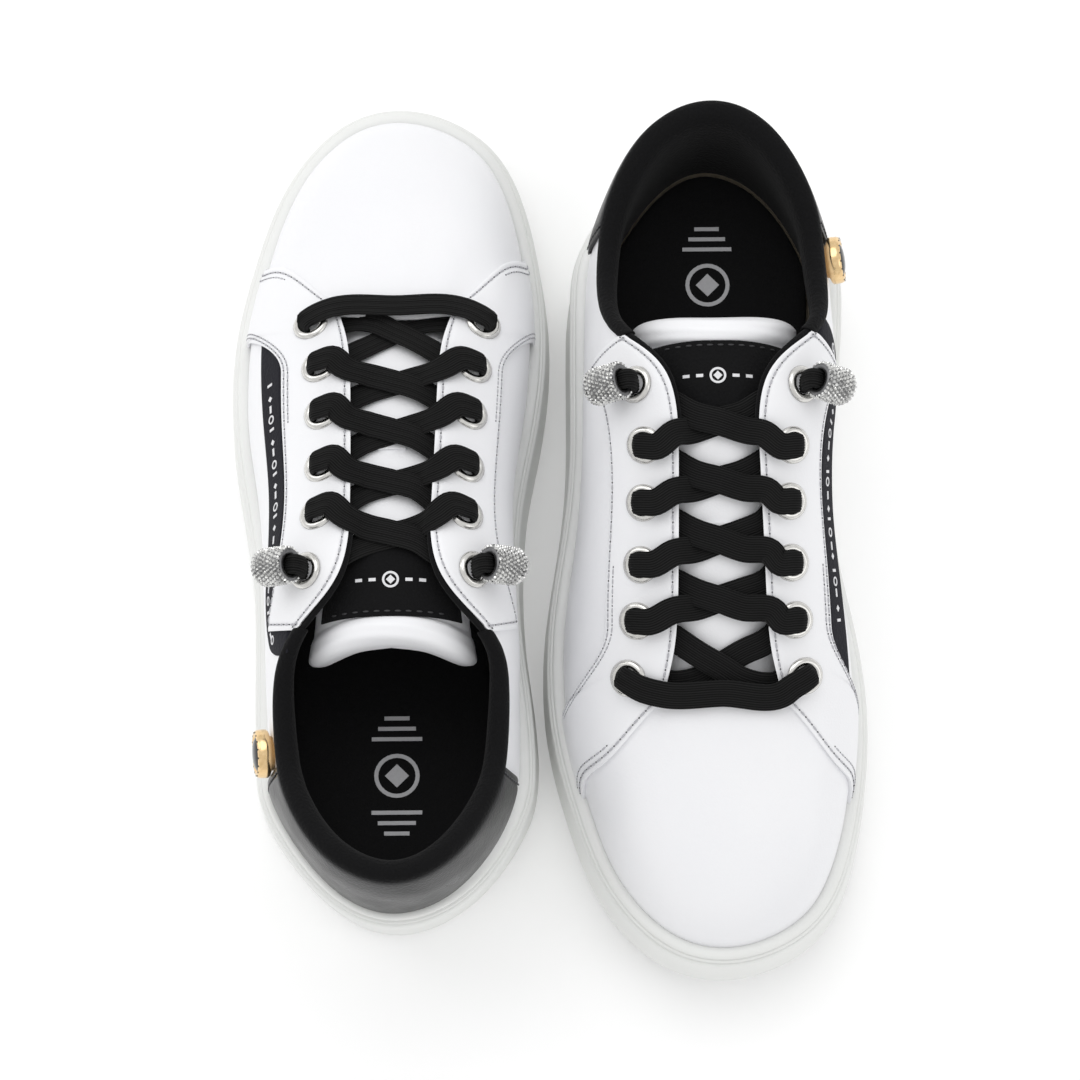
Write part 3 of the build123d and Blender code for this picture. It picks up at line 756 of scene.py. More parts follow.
def stitched_panel(shoe, name, place, height, rows, rolled, finish, size, thick=1.4, dent=0.12, shift=None):
    """A leather panel with troughs along its rows and rolled edges."""
    skin = Skin(shoe, place, *size)
    if shift:
        skin.base = skin.base + shift(skin)
    wave = np.sin(skin.base @ np.array([0.11, 0.07, 0.13])) * np.sin(skin.base @ np.array([-0.05, 0.12, 0.09]))
    bm = skin.bmesh(height + dent * wave - skin.groove(rows) - skin.roll(rolled))
    piece = link_piece(name, bm, finish, CUT_EDGE_PAINTED_SHADE)
    thicken(piece, thick, rounding=0.3)
    return piece, skin


def make_vamp(shoe):
    """The toe: one piece of leather from the sole to the throat."""
    def place(u, v):
        return QUARTER_END + u * (LOOP - 2 * QUARTER_END), v

    def bridge(skin):
        """Carries the leather on under the front of the lacing."""
        middle = np.sin(np.pi * np.clip((skin.a - WING_EDGE) / (LOOP - 2 * WING_EDGE), 0, 1)) ** 0.5
        near = np.clip((skin.t - BRIDGE_FROM) / (1 - BRIDGE_FROM), 0, 1) ** 2
        return (near * middle)[..., None] * np.array(BRIDGE)

    piece, _ = stitched_panel(shoe, f"vamp_leather_{shoe.side}", place, FACE, [], "top", WHITE_LEATHER,
                              (160, 80), shift=bridge)
    return give(piece, f"shoe_{shoe.side}", "white_leather", f"vamp_{shoe.side}")


def make_quarter(shoe, name, sign):
    """One side of the shoe, from the heel to under the eyestay's wing."""
    def place(u, v):
        return sign * (0.02 + u * (QUARTER_END - 0.05)), v * 0.995

    row = ("top", 2.2)
    piece, skin = stitched_panel(shoe, f"quarter_leather_{name}_{shoe.side}", place, FACE, [row], "top",
                                 WHITE_LEATHER, (150, 64))
    a, t = skin.row(*row)
    inside = (np.abs(a) > PATCH_END + 0.1) & (np.abs(a) < STAY_BACK - 0.05)
    sew(shoe, "white", a[inside], t[inside], FACE - 0.1)
    return give(piece, f"shoe_{shoe.side}", "white_leather", f"quarter_{name}_{shoe.side}")


def wing_foot(a):
    """The eyestay's outer edge: level along the lacing, then down to the sole as the wing."""
    drop = np.clip((a - CURVE_FROM) / (CURVE_TO - CURVE_FROM), 0, 1)
    return STAY_FOOT * (1 - drop ** 2.5) ** 0.5 + 0.005


def make_eyestay(shoe, name, sign):
    """The overlay that carries the eyelets, with a wing down to the sole."""
    def place(u, v):
        nominal = STAY_BACK + u * (WING_EDGE - STAY_BACK)
        foot = wing_foot(nominal)
        t = foot + v * (1 - foot)
        return sign * (nominal + u ** 8 * 0.13 * np.sin(np.pi * (2 * t - 1))), t

    rows = [("top", 1.8), ("end", 2.0), ("start", 2.2)]
    piece, skin = stitched_panel(shoe, f"eyestay_leather_{name}_{shoe.side}", place, RAISED, rows,
                                 "top end start foot", WHITE_LEATHER, (170, 72), thick=1.5, dent=0.08)
    sewn = [(("top", 1.8), RAISED - 0.2, (0.01, 0.985)), (("end", 2.0), RAISED - 0.2, (0.02, 0.97)),
            (("end", 4.0), RAISED, (0.02, 0.55)), (("start", 2.2), RAISED - 0.2, (0.06, 0.94))]
    for row, height, share in sewn:
        sew(shoe, "white", *skin.row(*row), height, share)
    edge = np.linspace(STAY_BACK + 0.05, CURVE_TO, 300)
    for distance in (0.022, 0.047):
        a = edge + 1.6 * distance * np.clip((edge - CURVE_FROM) / (CURVE_TO - CURVE_FROM), 0, 1)
        shown = a > (STAY_BACK if distance < 0.03 else CURVE_FROM - 0.6)
        sew(shoe, "white", sign * a[shown], (wing_foot(edge) + distance)[shown], RAISED, (0.01, 0.95))
    return give(piece, f"shoe_{shoe.side}", "white_leather", f"eyestay_{name}_{shoe.side}")


def patch_foot(a):
    """The patch's lower edge: down at the sole on one side, rising on the other."""
    rise = np.where(a > 0, 0, 0.42 * (np.abs(a) / PATCH_END) ** 1.5)
    return 0.05 + rise


def make_heel_patch(shoe):
    """Glossy black leather over the heel, cut away on the inner side."""
    def place(u, v):
        a = (2 * u - 1) * PATCH_END
        foot = patch_foot(a)
        return a, foot + v * (0.99 - foot)

    rows = [("start", 2.0), ("end", 2.0), ("foot", 2.0)]
    piece, skin = stitched_panel(shoe, f"heel_patch_leather_{shoe.side}", place, RAISED, rows,
                                 "top start end foot", BLACK_LEATHER, (110, 64))
    for edge in ("start", "end"):
        sew(shoe, "black", *skin.row(edge, 2.0), RAISED - 0.15, (0.03, 0.97))
    return give(piece, f"shoe_{shoe.side}", "black_leather", f"heel_patch_{shoe.side}")


for shoe in SHOES:
    make_vamp(shoe)
    make_heel_patch(shoe)
    for name, sign in (("outer", 1), ("inner", -1)):
        make_quarter(shoe, name, sign)
        make_eyestay(shoe, name, sign)
    print(shoe.side, "upper:", {kind: len(found) for kind, found in shoe.sewn.items()}, "stitches and holes")

# %% [markdown]
# ## Collar lining
# The collar is foam wrapped in a black brushed textile. It starts just outside the leather's top edge, rolls
# over it and goes down inside to the footbed. Its section is a short list of steps outwards and upwards from
# the top edge, carried round the ankle, with a little puckering where foam is bent round the heel.

# %% Padded collar
COLLAR_ENDS = 5.05
# millimetres out and up from the top edge of the leather
ROLL = [(0.35, -2.6), (0.9, -1.6), (1.15, -0.4), (0.9, 0.9), (0.0, 1.9), (-1.6, 2.4), (-3.4, 2.0), (-5.0, 0.8),
        (-6.1, -1.4), (-6.9, -4.5), (-7.4, -8.5)]
# share of the way up, and millimetres in from the leather
INNER_WALL = [(0.78, 7.6), (0.6, 7.6), (0.4, 7.2), (0.2, 6.6), (0.08, 6.2)]


def make_collar(shoe):
    a = np.linspace(-COLLAR_ENDS, COLLAR_ENDS, 150)
    last = shoe.last
    edge, out = last.wall(a, 1.0), last.normal(a, 0.97)
    rise = unit(edge - last.wall(a, 0.95))
    slim = (1 - 0.45 * (np.abs(a) / COLLAR_ENDS) ** 4)[:, None]
    pucker = (1 + 0.05 * np.sin(a * 17) * np.sin(a * 5))[:, None]
    grid = [edge + out * x * (slim if x < 0 else 1) + rise * y * pucker for x, y in ROLL]
    for t, depth in INNER_WALL:
        grid.append(last.wall(a, t) - last.normal(a, t) * depth * slim)
    bm = shaped_grid(shoe.put(np.array(grid)))
    bmesh.ops.recalc_face_normals(bm, faces=bm.faces)
    piece = link_piece(f"collar_padding_{shoe.side}", bm, LINING)
    thicken(piece, 0.5, offset=0)
    soften(piece)
    return give(piece, f"shoe_{shoe.side}", "black_lining", f"collar_lining_{shoe.side}")


for shoe in SHOES:
    print(make_collar(shoe).name)

# %% [markdown]
# ## Footbed
# A thin foam footbed covered in black cloth, soft at the rim. A small silvery motif of a ring, a diamond and
# bars is printed at the heel.

# %% Footbed
FOOTBED_TOP = -0.7
FOOTBED_PROFILE = [(11, 1, 1, -3.6), (11, 0.5, 1, -3.6), (13, 0, 1, -3.6), (12.4, 0, 1, -2.6), (12.2, 0, 1, -1.2),
                   (12.8, 0, 1, -0.3), (14.5, 0, 1, 0.2), (18, 0, 1, 0), (22, 0, 1, -0.4)]
FOOTBED_PROFILE += [(22, shrink / 14, 1, FOOTBED_TOP) for shrink in range(1, 15)]


def make_footbed(shoe):
    bm = ring_loft(shoe, FOOTBED_PROFILE, lip_height, lip_height)
    piece = link_piece(f"footbed_pad_{shoe.side}", bm, FOOTBED_CLOTH)
    return give(piece, f"shoe_{shoe.side}", "footbed_cloth", f"footbed_{shoe.side}")


def flat_ring(outer, inner, steps=28, thick=0.16):
    """A printed ring, in millimetres."""
    return spun([(inner, 0), (inner, thick), (outer, thick), (outer, 0), (inner, 0)], steps)


def flat_bar(width, length, corner=45, thick=0.16):
    """A printed bar; four corners, turned by corner degrees it is a diamond."""
    bm = bmesh.new()
    bmesh.ops.create_cube(bm, size=1)
    bmesh.ops.rotate(bm, verts=bm.verts, cent=(0, 0, 0), matrix=Matrix.Rotation(math.radians(corner), 3, "Z"))
    bmesh.ops.scale(bm, verts=bm.verts, vec=(width, length, thick))
    bmesh.ops.translate(bm, verts=bm.verts, vec=(0, 0, thick / 2))
    return bm


def make_motif(shoe, name, finish, marks):
    """A print made of thin shapes; marks holds (bmesh, matrix) pairs."""
    for mark, matrix in marks:
        mark.transform(matrix)
    return link_piece(f"{name}_{shoe.side}", joined(mark for mark, _ in marks), finish, smooth=False)


MOTIF_Y, BAR_SPAN, BAR_AT, BAR_PITCH = -88.0, 16.0, 12, 3.4


def make_footbed_motif(shoe):
    def at(y):
        return seat(shoe, (0, y, float(lip_height(y)) + FOOTBED_TOP - 0.03), (0, 0.06, 1))

    marks = [(flat_ring(7.2, 5.9), at(MOTIF_Y)), (flat_bar(5.4, 5.4), at(MOTIF_Y))]
    for k in range(3):
        for way in (-1, 1):
            marks.append((flat_bar(BAR_SPAN - 4 * k, 1.3, 0), at(MOTIF_Y + way * (BAR_AT + BAR_PITCH * k))))
    piece = make_motif(shoe, "footbed_motif", SILVER_PRINT, marks)
    return give(piece, f"shoe_{shoe.side}", "footbed_cloth")


for shoe in SHOES:
    print(make_footbed(shoe).name, make_footbed_motif(shoe).name)

# %% [markdown]
# ## Tongue
# The tongue is foam in white leather, thin under the vamp and thick at the top, where it ends in a stuffed roll
# with rounded corners. It is one closed tube of sections: the share across and the angle round each section
# give every point. The real tongue bends at its hinge; this one is baked in place and rides on no body.

# %% Tongue
# along the shoe, half width, height of the top, fall at the edges
TONGUE = np.array([(66, 15, 55.0, 2), (60, 17, 57.2, 4), (50, 19, 62.0, 6), (34, 20, 70.3, 7), (17.5, 21, 75.8, 8.5),
                   (-1, 22, 81.0, 10), (-18, 23, 85.6, 12), (-36, 24.5, 89.3, 14.5), (-50, 26.5, 89.3, 18),
                   (-60, 28.5, 88.6, 21), (-68, 28.5, 88, 22)])
TONGUE_FRONT, TONGUE_BACK, ROLL_FROM = 62.0, -61.0, -50.6
KEEPER_FRONT, KEEPER_BACK = 12.2, 5.2
CORNER_BACK, MIDDLE_SHORT, LABEL_MOTIF_Y = -4.0, 1.6, -39.0
LABEL_FRONT, LABEL_BACK, LABEL_LIFT = -28.5, -50.4, 0.75
BEND_START, BEND_END = (0, -29, 88), (0, -43, 88)


def tongue_top(y, share):
    """The tongue's upper face; share is how far across, from -1 to 1."""
    half, top, fall = (np.interp(y, TONGUE[::-1, 0], TONGUE[::-1, k]) for k in (1, 2, 3))
    return np.stack(np.broadcast_arrays(share * half, y, top - fall * np.abs(share) ** 2.5), axis=-1)


def tongue_out(y, share):
    along = tongue_top(y + 0.5, share) - tongue_top(y - 0.5, share)
    across = tongue_top(y, share + 0.02) - tongue_top(y, share - 0.02)
    return unit(np.cross(across, along))


def make_tongue(shoe):
    u = np.linspace(0, 1, 120)
    y = TONGUE_FRONT + (TONGUE_BACK - TONGUE_FRONT) * (1 - (1 - u) ** 1.5)
    angle = np.linspace(0, 2 * np.pi, 73)
    y, angle = np.meshgrid(y, angle, indexing="ij")
    tip = np.clip((-54 - y) / (-54 - TONGUE_BACK), 0, 1)
    narrow = (1 - tip ** 4.5) ** (1 / 3)
    in_roll = np.clip((ROLL_FROM - y) / (ROLL_FROM - TONGUE_BACK), 0, 1)
    thick = 4.3 + 4.6 * np.clip((-30 - y) / 25, 0, 1)
    share = np.cos(angle)
    plump = np.abs(np.sin(angle)) ** 0.55
    seam = 0.9 * np.exp(-((y - ROLL_FROM) / 1.0) ** 2) * (1 - share ** 4)
    creases = 0.12 * np.sin(1.7 * y + 3 * share) * np.clip((y + 20) / -30, 0, 1)
    swell = 1.9 * np.sin(np.pi * in_roll ** 0.8) ** 0.8 + creases
    half = thick / 2 * (1 - tip ** 4) ** 0.5
    over = np.where(np.sin(angle) > 0, 1.0, -1.0) * plump * half
    wide = share * narrow
    bow = CORNER_BACK * np.abs(wide) ** 2.2 + MIDDLE_SHORT * (1 - wide ** 2)
    y = y + bow * np.clip((-40 - y) / 20, 0, 1)
    height = over - thick / 2 + (swell - seam) * (np.sin(angle) > 0) * plump
    points = tongue_top(y, wide) + tongue_out(y, wide) * height[..., None]
    bm = close_up(shaped_grid(shoe.put(points)))
    piece = link_piece(f"tongue_pad_{shoe.side}", bm, WHITE_LEATHER)
    soften(piece)
    return bend(shoe, piece, "white_leather", f"tongue_{shoe.side}", f"tongue_top_{shoe.side}")


def bend(shoe, piece, slot, *nodes):
    """Hides the CAD nodes and bakes the piece in place; it is not bent and rides on no body."""
    if nodes:
        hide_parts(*nodes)
    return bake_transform(piece, f"shoe_{shoe.side}", f"tongue_end_{shoe.side}",
                    start=shoe.put(BEND_START).tolist(), end=shoe.put(BEND_END).tolist())


def tongue_strip(shoe, name, front, back, half, lift, finish, thick=0.7):
    """A thin tab that lies on the tongue."""
    y, share = np.meshgrid(np.linspace(front, back, 24), np.linspace(-1, 1, 33) * half, indexing="ij")
    points = tongue_top(y, share) + tongue_out(y, share) * lift
    bm = shaped_grid(shoe.put(points))
    bm.normal_update()
    if sum(face.normal.z for face in bm.faces) < 0:
        bmesh.ops.reverse_faces(bm, faces=bm.faces)
    piece = link_piece(f"{name}_{shoe.side}", bm, finish)
    thicken(piece, thick, rounding=0.2)
    return piece


def make_label(shoe):
    """The black woven label under the last crossing, its motif and its stitches."""
    cloth = tongue_strip(shoe, "label_cloth", LABEL_FRONT, LABEL_BACK, 0.80, LABEL_LIFT, LINING)
    bend(shoe, cloth, "black_label", f"tongue_label_{shoe.side}")

    def at(x, y):
        share = x / float(np.interp(y, TONGUE[::-1, 0], TONGUE[::-1, 1]))
        return seat(shoe, tongue_top(y, share) + tongue_out(y, share) * (LABEL_LIFT + 0.01), tongue_out(y, share))

    marks = [(flat_ring(2.6, 1.9), at(0, LABEL_MOTIF_Y)), (flat_bar(2.0, 2.0), at(0, LABEL_MOTIF_Y))]
    marks += [(flat_bar(2.2, 1.0, 0), at(x, LABEL_MOTIF_Y)) for x in (5.5, -5.5, 9.5, -9.5)]
    bend(shoe, make_motif(shoe, "label_motif", WHITE_PRINT, marks), "black_label")
    stitch = bmesh.new()
    bmesh.ops.create_uvsphere(stitch, u_segments=8, v_segments=6, radius=1)
    bmesh.ops.scale(stitch, verts=stitch.verts, vec=(STITCH_LENGTH / 2, STITCH_R, STITCH_R))
    spots = [at(x, LABEL_BACK + 1.5) for x in np.arange(-17, 17.1, 3.2)]
    stitches = link_piece(f"label_stitches_{shoe.side}", gather(template_of(stitch), spots), BLACK_THREAD)
    bend(shoe, stitches, "black_label")


for shoe in SHOES:
    make_tongue(shoe)
    make_label(shoe)
    keeper = tongue_strip(shoe, "lace_keeper", KEEPER_FRONT, KEEPER_BACK, 0.2, 0.8, WHITE_LEATHER, 1.0)
    give(keeper, f"shoe_{shoe.side}", "white_leather")
print("tongues, labels and lace keepers made")

# %% [markdown]
# ## Side ribbon
# A narrow woven ribbon is sewn down the eyestay's outer edge on one side. It starts at the collar, turns the
# eyestay's corner and runs away under the wing. Rings, bars and diamonds are woven along it.

# %% Side ribbon
# how far round and how far up its middle runs
RIBBON_ROUTE = [(4.80, 0.99), (4.78, 0.88), (4.84, 0.77), (5.04, 0.68), (5.4, 0.61), (6, 0.59), (7, 0.585),
                (8, 0.58), (9.15, 0.56)]
RIBBON_WIDTH, RIBBON_RISE, RIBBON_COUNT, MARK_PITCH = 10.5, 0.75, 110, 3.9
RIBBON_CLOTH = make_cloth("black_ribbon", (0.012, 0.012, 0.016), (0.022, 0.022, 0.028), 1800, 0.3)
# each mark along the ribbon, with its sizes in millimetres
RIBBON_MARKS = [(flat_ring, (1.5, 0.95, 20)), (flat_bar, (1.0, 2.6, 0)), (flat_bar, (1.5, 1.5)), (flat_bar, (2.4, 0.9, 0))]


def make_ribbon(shoe):
    route = np.array(RIBBON_ROUTE)
    dense, = smooth_path(np.column_stack([route, route[:, 0] * 0]), RIBBON_COUNT)
    ups = shoe.last.normal(dense[:, 0], dense[:, 1])
    path = shoe.last.wall(dense[:, 0], dense[:, 1]) + ups * RIBBON_RISE / 2
    taper = 0.72 + 0.28 * np.clip(np.linspace(0, 1, RIBBON_COUNT) / 0.3, 0, 1)
    bm = band(path, ups, RIBBON_WIDTH * taper, np.full(RIBBON_COUNT, RIBBON_RISE), shoe, around=20)
    piece = link_piece(f"ribbon_{shoe.side}", bm, RIBBON_CLOTH)
    give(piece, f"shoe_{shoe.side}", "black_ribbon", f"side_ribbon_{shoe.side}")
    run = run_along(path)
    ways = unit(np.gradient(path, axis=0))
    marks = []
    for k, at in enumerate(np.arange(12, run[-1] - 22, MARK_PITCH)):
        i = int(np.searchsorted(run, at))
        shape, sizes = RIBBON_MARKS[k % len(RIBBON_MARKS)]
        marks.append((shape(*sizes), seat(shoe, path[i] + ups[i] * (RIBBON_RISE / 2 - 0.03), ups[i], ways[i])))
    motif = make_motif(shoe, "ribbon_motif", WHITE_PRINT, marks)
    return give(motif, f"shoe_{shoe.side}", "black_ribbon")


for shoe in SHOES:
    print(make_ribbon(shoe).name)

# %% [markdown]
# ## Eyelets and lace
# Eyelets are turned rings pressed through the eyestay. The lace is a flat elastic: a bar across the front, then
# crossings that come up through one eyelet, lie over the tongue and go down under the other side's edge. At an
# eyelet the flat band gathers into a narrow, thicker cord. Each run is one band along a smooth path.

# %% Eyelets and lace
# places of each pair of eyelets, from the toe back, on the -X and the +X side
EYELETS = [((-25.7, 50.5), (28.0, 50.5)), ((-22.7, 34.4), (25.2, 34.0)), ((-21.5, 17.6), (23.8, 17.5)),
           ((-21.1, -0.8), (22.8, -1.0)), ((-22.1, -17.6), (22.4, -18.0)), ((-25.2, -36.1), (24.8, -36.2))]
EYELET_PROFILE = [(3.2, -3.0), (3.1, 1.2), (3.25, 2.1), (3.7, 2.65), (4.5, 2.85), (5.3, 2.6), (5.8, 2.0), (5.9, 1.5),
                  (5.2, 1.5), (3.6, 1.5), (3.6, -3.0), (3.2, -3.0)]
LACE_WIDTH, LACE_THICK, GATHERED_WIDTH, LACE_RIBS, LACE_COUNT = 8.4, 1.45, 4.7, 8, 64
DEEP, BAR_BOW, BAR_REACH, THROAT_X, RIM = 3.2, 4.4, 8.0, 12.6, 0.985
# how far a lace has gone back, as a share of its way to the next row, where it leaves one side and meets the other
OVER_LEAVES, UNDER_LEAVES, MEETS = 0.14, -0.18, 0.62


def find_seats(shoe):
    """Both eyelets of every row: how far round, how far up, the point and the way out."""
    rows = []
    for pair in EYELETS:
        found = [shoe.last.find(*place) for place in pair]
        rows.append([(a, t, shoe.last.wall(a, t), shoe.last.normal(a, t)) for a, t in found])
    return rows


def make_eyelets(shoe):
    ring = template_of(spun(EYELET_PROFILE, 36))
    places = [seat(shoe, point, out) for row in shoe.seats for _, _, point, out in row]
    piece = link_piece(f"eyelet_rings_{shoe.side}", gather(ring, places), NICKEL)
    return give(piece, f"shoe_{shoe.side}", "nickel", f"eyelets_{shoe.side}")


def lace_band(shoe, points, ups, widths, thicks):
    path, up, width, thick = smooth_path(points, LACE_COUNT, ups, widths, thicks)
    return band(path, up, width, thick, shoe, around=96, ribs=LACE_RIBS)


def rim_point(shoe, side, y):
    """The throat's edge on one side at a place along the shoe, and the way out there."""
    a = side * -np.linspace(5.0, 10.6, 200)
    found = float(np.interp(y, shoe.last.wall(a, RIM)[:, 1], a))
    return shoe.last.wall(found, RIM), shoe.last.normal(found, 0.97)


def eyelet_turn(point, out, toward):
    """How the lace comes up through an eyelet, at its far side, and turns towards the throat."""
    points = [point - out * 2.6 - toward * 0.6, point + out * 1.4 - toward * 2.4, point + out * 4.0 - toward * 1.7,
              point + out * 4.8 + toward * 1.6, point + out * 4.75 + toward * 5.6]
    ups = [unit(-toward - 0.3 * out), unit(-toward + 0.2 * out), unit(out - 0.7 * toward),
           unit(out - 0.1 * toward), out]
    return points, ups, [5.0, 5.6, 6.9, 8.0, LACE_WIDTH], [2.6, 2.4, 1.9, LACE_THICK, LACE_THICK]


def eyelet_tail(point, out, toward):
    """How the lace goes down under the eyestay and up into the next eyelet."""
    points = [point - out * DEEP - toward * 2.0, point - out * 1.2 + toward * 0.6]
    return points, [out, unit(out + toward)], [5.6, GATHERED_WIDTH], [1.9, 2.2]


def crossing(shoe, start, end, over):
    """One run, from an eyelet over the tongue to the next eyelet back on the other side."""
    (_, _, p, n), (_, _, q, m) = start, end
    side = math.copysign(1, p[0])
    step = q[1] - p[1]
    leave = p[1] + step * (OVER_LEAVES if over else UNDER_LEAVES)

    def along(x):
        """The lace runs nearly straight in over the eyestay, and makes most of its way back over the tongue."""
        return float(np.interp(-side * x, (-side * p[0], -THROAT_X, THROAT_X, -side * q[0]),
                               (p[1], leave, p[1] + MEETS * step, q[1])))

    inward = np.array([-side, 0, 0])
    toward = unit(inward - n * np.dot(inward, n)) if over else unit(q - p)
    lift = LACE_THICK * 0.5 + 0.5 + (LACE_THICK + 0.25 if side < 0 else 0)
    spots = [(along(side * x), side * x / 22) for x in (7, 0, -7)]
    middle = [tongue_top(*spot) + tongue_out(*spot) * lift for spot in spots]
    middle_ups = [tongue_out(*spot) for spot in spots]
    brink, brink_out = rim_point(shoe, side, along(side * THROAT_X))
    brow, brow_out = rim_point(shoe, -side, along(side * -THROAT_X))
    tail = eyelet_tail(q, m, unit(q - p))
    if over:
        head = eyelet_turn(p, n, toward)
        brink = brink + brink_out * (RAISED + LACE_THICK * 1.1)
    else:
        head = [part[::-1] for part in eyelet_tail(p, n, -toward)]
        brink = brink - brink_out * DEEP
    points = [*head[0], brink, *middle, brow - brow_out * DEEP, *tail[0]]
    ups = [*head[1], brink_out, *middle_ups, brow_out, *tail[1]]
    widths = [*head[2], *[LACE_WIDTH] * 5, *tail[2]]
    thicks = [*head[3], *[LACE_THICK] * 5, *tail[3]]
    return lace_band(shoe, points, ups, widths, thicks)


def front_bar(shoe, start, end):
    """The straight run across the front, down through both first eyelets, bowed a little to the toe."""
    (_, _, p, n), (_, _, q, m) = start, end
    ahead = np.array([0, BAR_BOW / BAR_REACH, -0.1])
    across = unit(q - p)
    sides = [rim_point(shoe, side, p[1] + BAR_BOW) for side in (-1, 1)]
    brink, brow = [point + out * (RAISED + LACE_THICK * 1.2) for point, out in sides]
    middle = (brink + brow) / 2 + np.array([0, 0, 0.6])
    level = tongue_out(p[1], 0)
    head, tail = eyelet_turn(p, n, unit(across + ahead)), eyelet_turn(q, m, unit(ahead - across))
    points = [*head[0], brink, middle, brow, *tail[0][::-1]]
    ups = [*head[1], level, level, level, *tail[1][::-1]]
    widths = [*head[2], *[LACE_WIDTH] * 3, *tail[2][::-1]]
    thicks = [*head[3], *[LACE_THICK] * 3, *tail[3][::-1]]
    return lace_band(shoe, points, ups, widths, thicks)


def make_lace(shoe):
    runs = [front_bar(shoe, *shoe.seats[0])]
    runs += [crossing(shoe, shoe.seats[k][s], shoe.seats[k + 1][1 - s], k > 0) for k in range(5) for s in (0, 1)]
    piece = link_piece(f"lace_{shoe.side}", joined(runs), LACE_CLOTH)
    return give(piece, f"shoe_{shoe.side}", "black_lace", f"laces_{shoe.side}")


for shoe in SHOES:
    shoe.seats = find_seats(shoe)
    print(make_eyelets(shoe).name, make_lace(shoe).name)

# %% [markdown]
# ## Crystal beads
# Each lace end comes up through the last eyelet and is fixed in a barrel bead. The bead is a dark metal barrel
# with rows of small cut stones. Every stone is one low cone frustum with eight sides, copied to its place, and
# alternate rows are offset by half a stone as a setter lays them.

# %% Crystal beads and lace ends
BEAD_R, BEAD_LENGTH, BEAD_HEIGHT, BEAD_BACK = 6.1, 13.0, 9.0, 0.8
MOUTH_R, MOUTH_DEPTH = 3.4, 1.6
MOUTH = [(0, MOUTH_DEPTH), (MOUTH_R - 0.5, MOUTH_DEPTH), (MOUTH_R, 0.3)]
STONE_R, STONE_ROWS, STONES_ROUND = 0.66, 9, 26


def barrel_radius(z):
    """The barrel's outer radius along its length: flat at the near end, rounded at the far end."""
    near = np.clip((1.3 - z) / 1.3, 0, 1)
    far = np.clip((z - (BEAD_LENGTH - 3.4)) / 3.4, 0, 1)
    return (BEAD_R - 0.55) - 0.8 * near ** 2 - 2.3 * far ** 2.2


def make_bead(shoe, name, point, out):
    away = np.array([math.copysign(1, point[0]), 0.08, 0])
    away = unit(away - out * np.dot(away, out))
    centre = point + out * BEAD_HEIGHT - away * BEAD_BACK
    body = f"{name}_bead_{shoe.side}"
    stand = seat(shoe, centre, away, out)
    heights = np.linspace(0.25, BEAD_LENGTH - 0.1, 16)
    wall = [(float(barrel_radius(z)), float(z)) for z in heights]
    barrel = spun([*MOUTH, *wall, (0, BEAD_LENGTH)], 36)
    for face in barrel.faces:
        x, y, z = face.calc_center_median()
        face.material_index = int(z < MOUTH_DEPTH + 0.1 and math.hypot(x, y) < MOUTH_R + 0.1)
    barrel.transform(stand)
    give(link_piece(f"bead_barrel_{name}_{shoe.side}", barrel, BEAD_METAL, LACE_CLOTH), body, "crystal_silver",
         f"bead_{name}_{shoe.side}")
    stone = bmesh.new()
    bmesh.ops.create_cone(stone, cap_ends=True, segments=8, radius1=STONE_R, radius2=STONE_R * 0.5, depth=0.6)
    stone = template_of(stone)
    places = []
    for row in range(STONE_ROWS):
        z = 0.75 + row * (BEAD_LENGTH - 2.0) / (STONE_ROWS - 1)
        radius = float(barrel_radius(z))
        slope = float(barrel_radius(z + 0.1) - barrel_radius(z - 0.1)) / 0.2
        count = max(9, round(STONES_ROUND * radius / (BEAD_R - 0.55)))
        for k in range(count):
            turn = 2 * math.pi * (k + 0.5 * (row % 2)) / count
            ring = Vector((math.cos(turn), math.sin(turn), 0))
            lean = (ring - Vector((0, 0, slope))).normalized()
            spin = Vector((0, 0, 1)).rotation_difference(lean).to_matrix().to_4x4()
            places.append(stand @ Matrix.Translation(ring * (radius + 0.2) + Vector((0, 0, z))) @ spin)
    stones = link_piece(f"bead_stones_{name}_{shoe.side}", gather(stone, places), CRYSTAL, smooth=False)
    give(stones, body, "crystal_silver")
    stub = [point - out * 2.0, point + out * 2.4, point + out * 6.2 - away * 2.4, centre - away * 1.6,
            centre + away * 1.0]
    across = unit(np.cross(out, away))
    ups = [unit(np.cross(across, way)) for way in np.gradient(np.array(stub), axis=0)]
    lace = smooth_path(stub, 30, ups, [5.4, 5.8, 6.2, 6.0, 5.6], [3.4, 3.2, 2.9, 3.0, 3.2])
    bm = band(*lace, shoe, around=64, ribs=6)
    return give(link_piece(f"lace_stub_{name}_{shoe.side}", bm, LACE_CLOTH), body, "black_lace",
                f"lace_end_{name}_{shoe.side}")


for shoe in SHOES:
    for name, (_, _, point, out) in zip(("outer", "inner"), shoe.seats[-1]):
        print(make_bead(shoe, name, point, out).name)

# %% [markdown]
# ## Gold stud
# A turned gold cup, its rim drilled with small holes, holds a domed black face. It is riveted through the heel
# patch on one side.

# %% Gold stud
# the stud's place along the shoe and above the floor, and how far it is sunk in the leather
STUD_AT, STUD_SUNK = (-86.4, 57.0), 0.9
RIM_PROFILE = [(0, -0.5), (5.0, -0.5), (5.4, 1.6), (7.0, 2.2), (7.5, 2.7), (7.6, 3.6), (7.5, 5.2), (7.2, 6.0),
               (6.7, 6.4), (6.1, 6.3), (5.7, 5.8), (5.6, 4.8), (0, 4.7)]
FACE_PROFILE = [(5.55, 4.6), (5.5, 5.5), (5.1, 6.1), (4.2, 6.6), (2.8, 6.95), (1.4, 7.1), (0, 7.15)]
RIM_HOLES, RIM_HOLE_R, RIM_MIDDLE, RIM_TOP = 16, 0.3, 6.75, 6.42


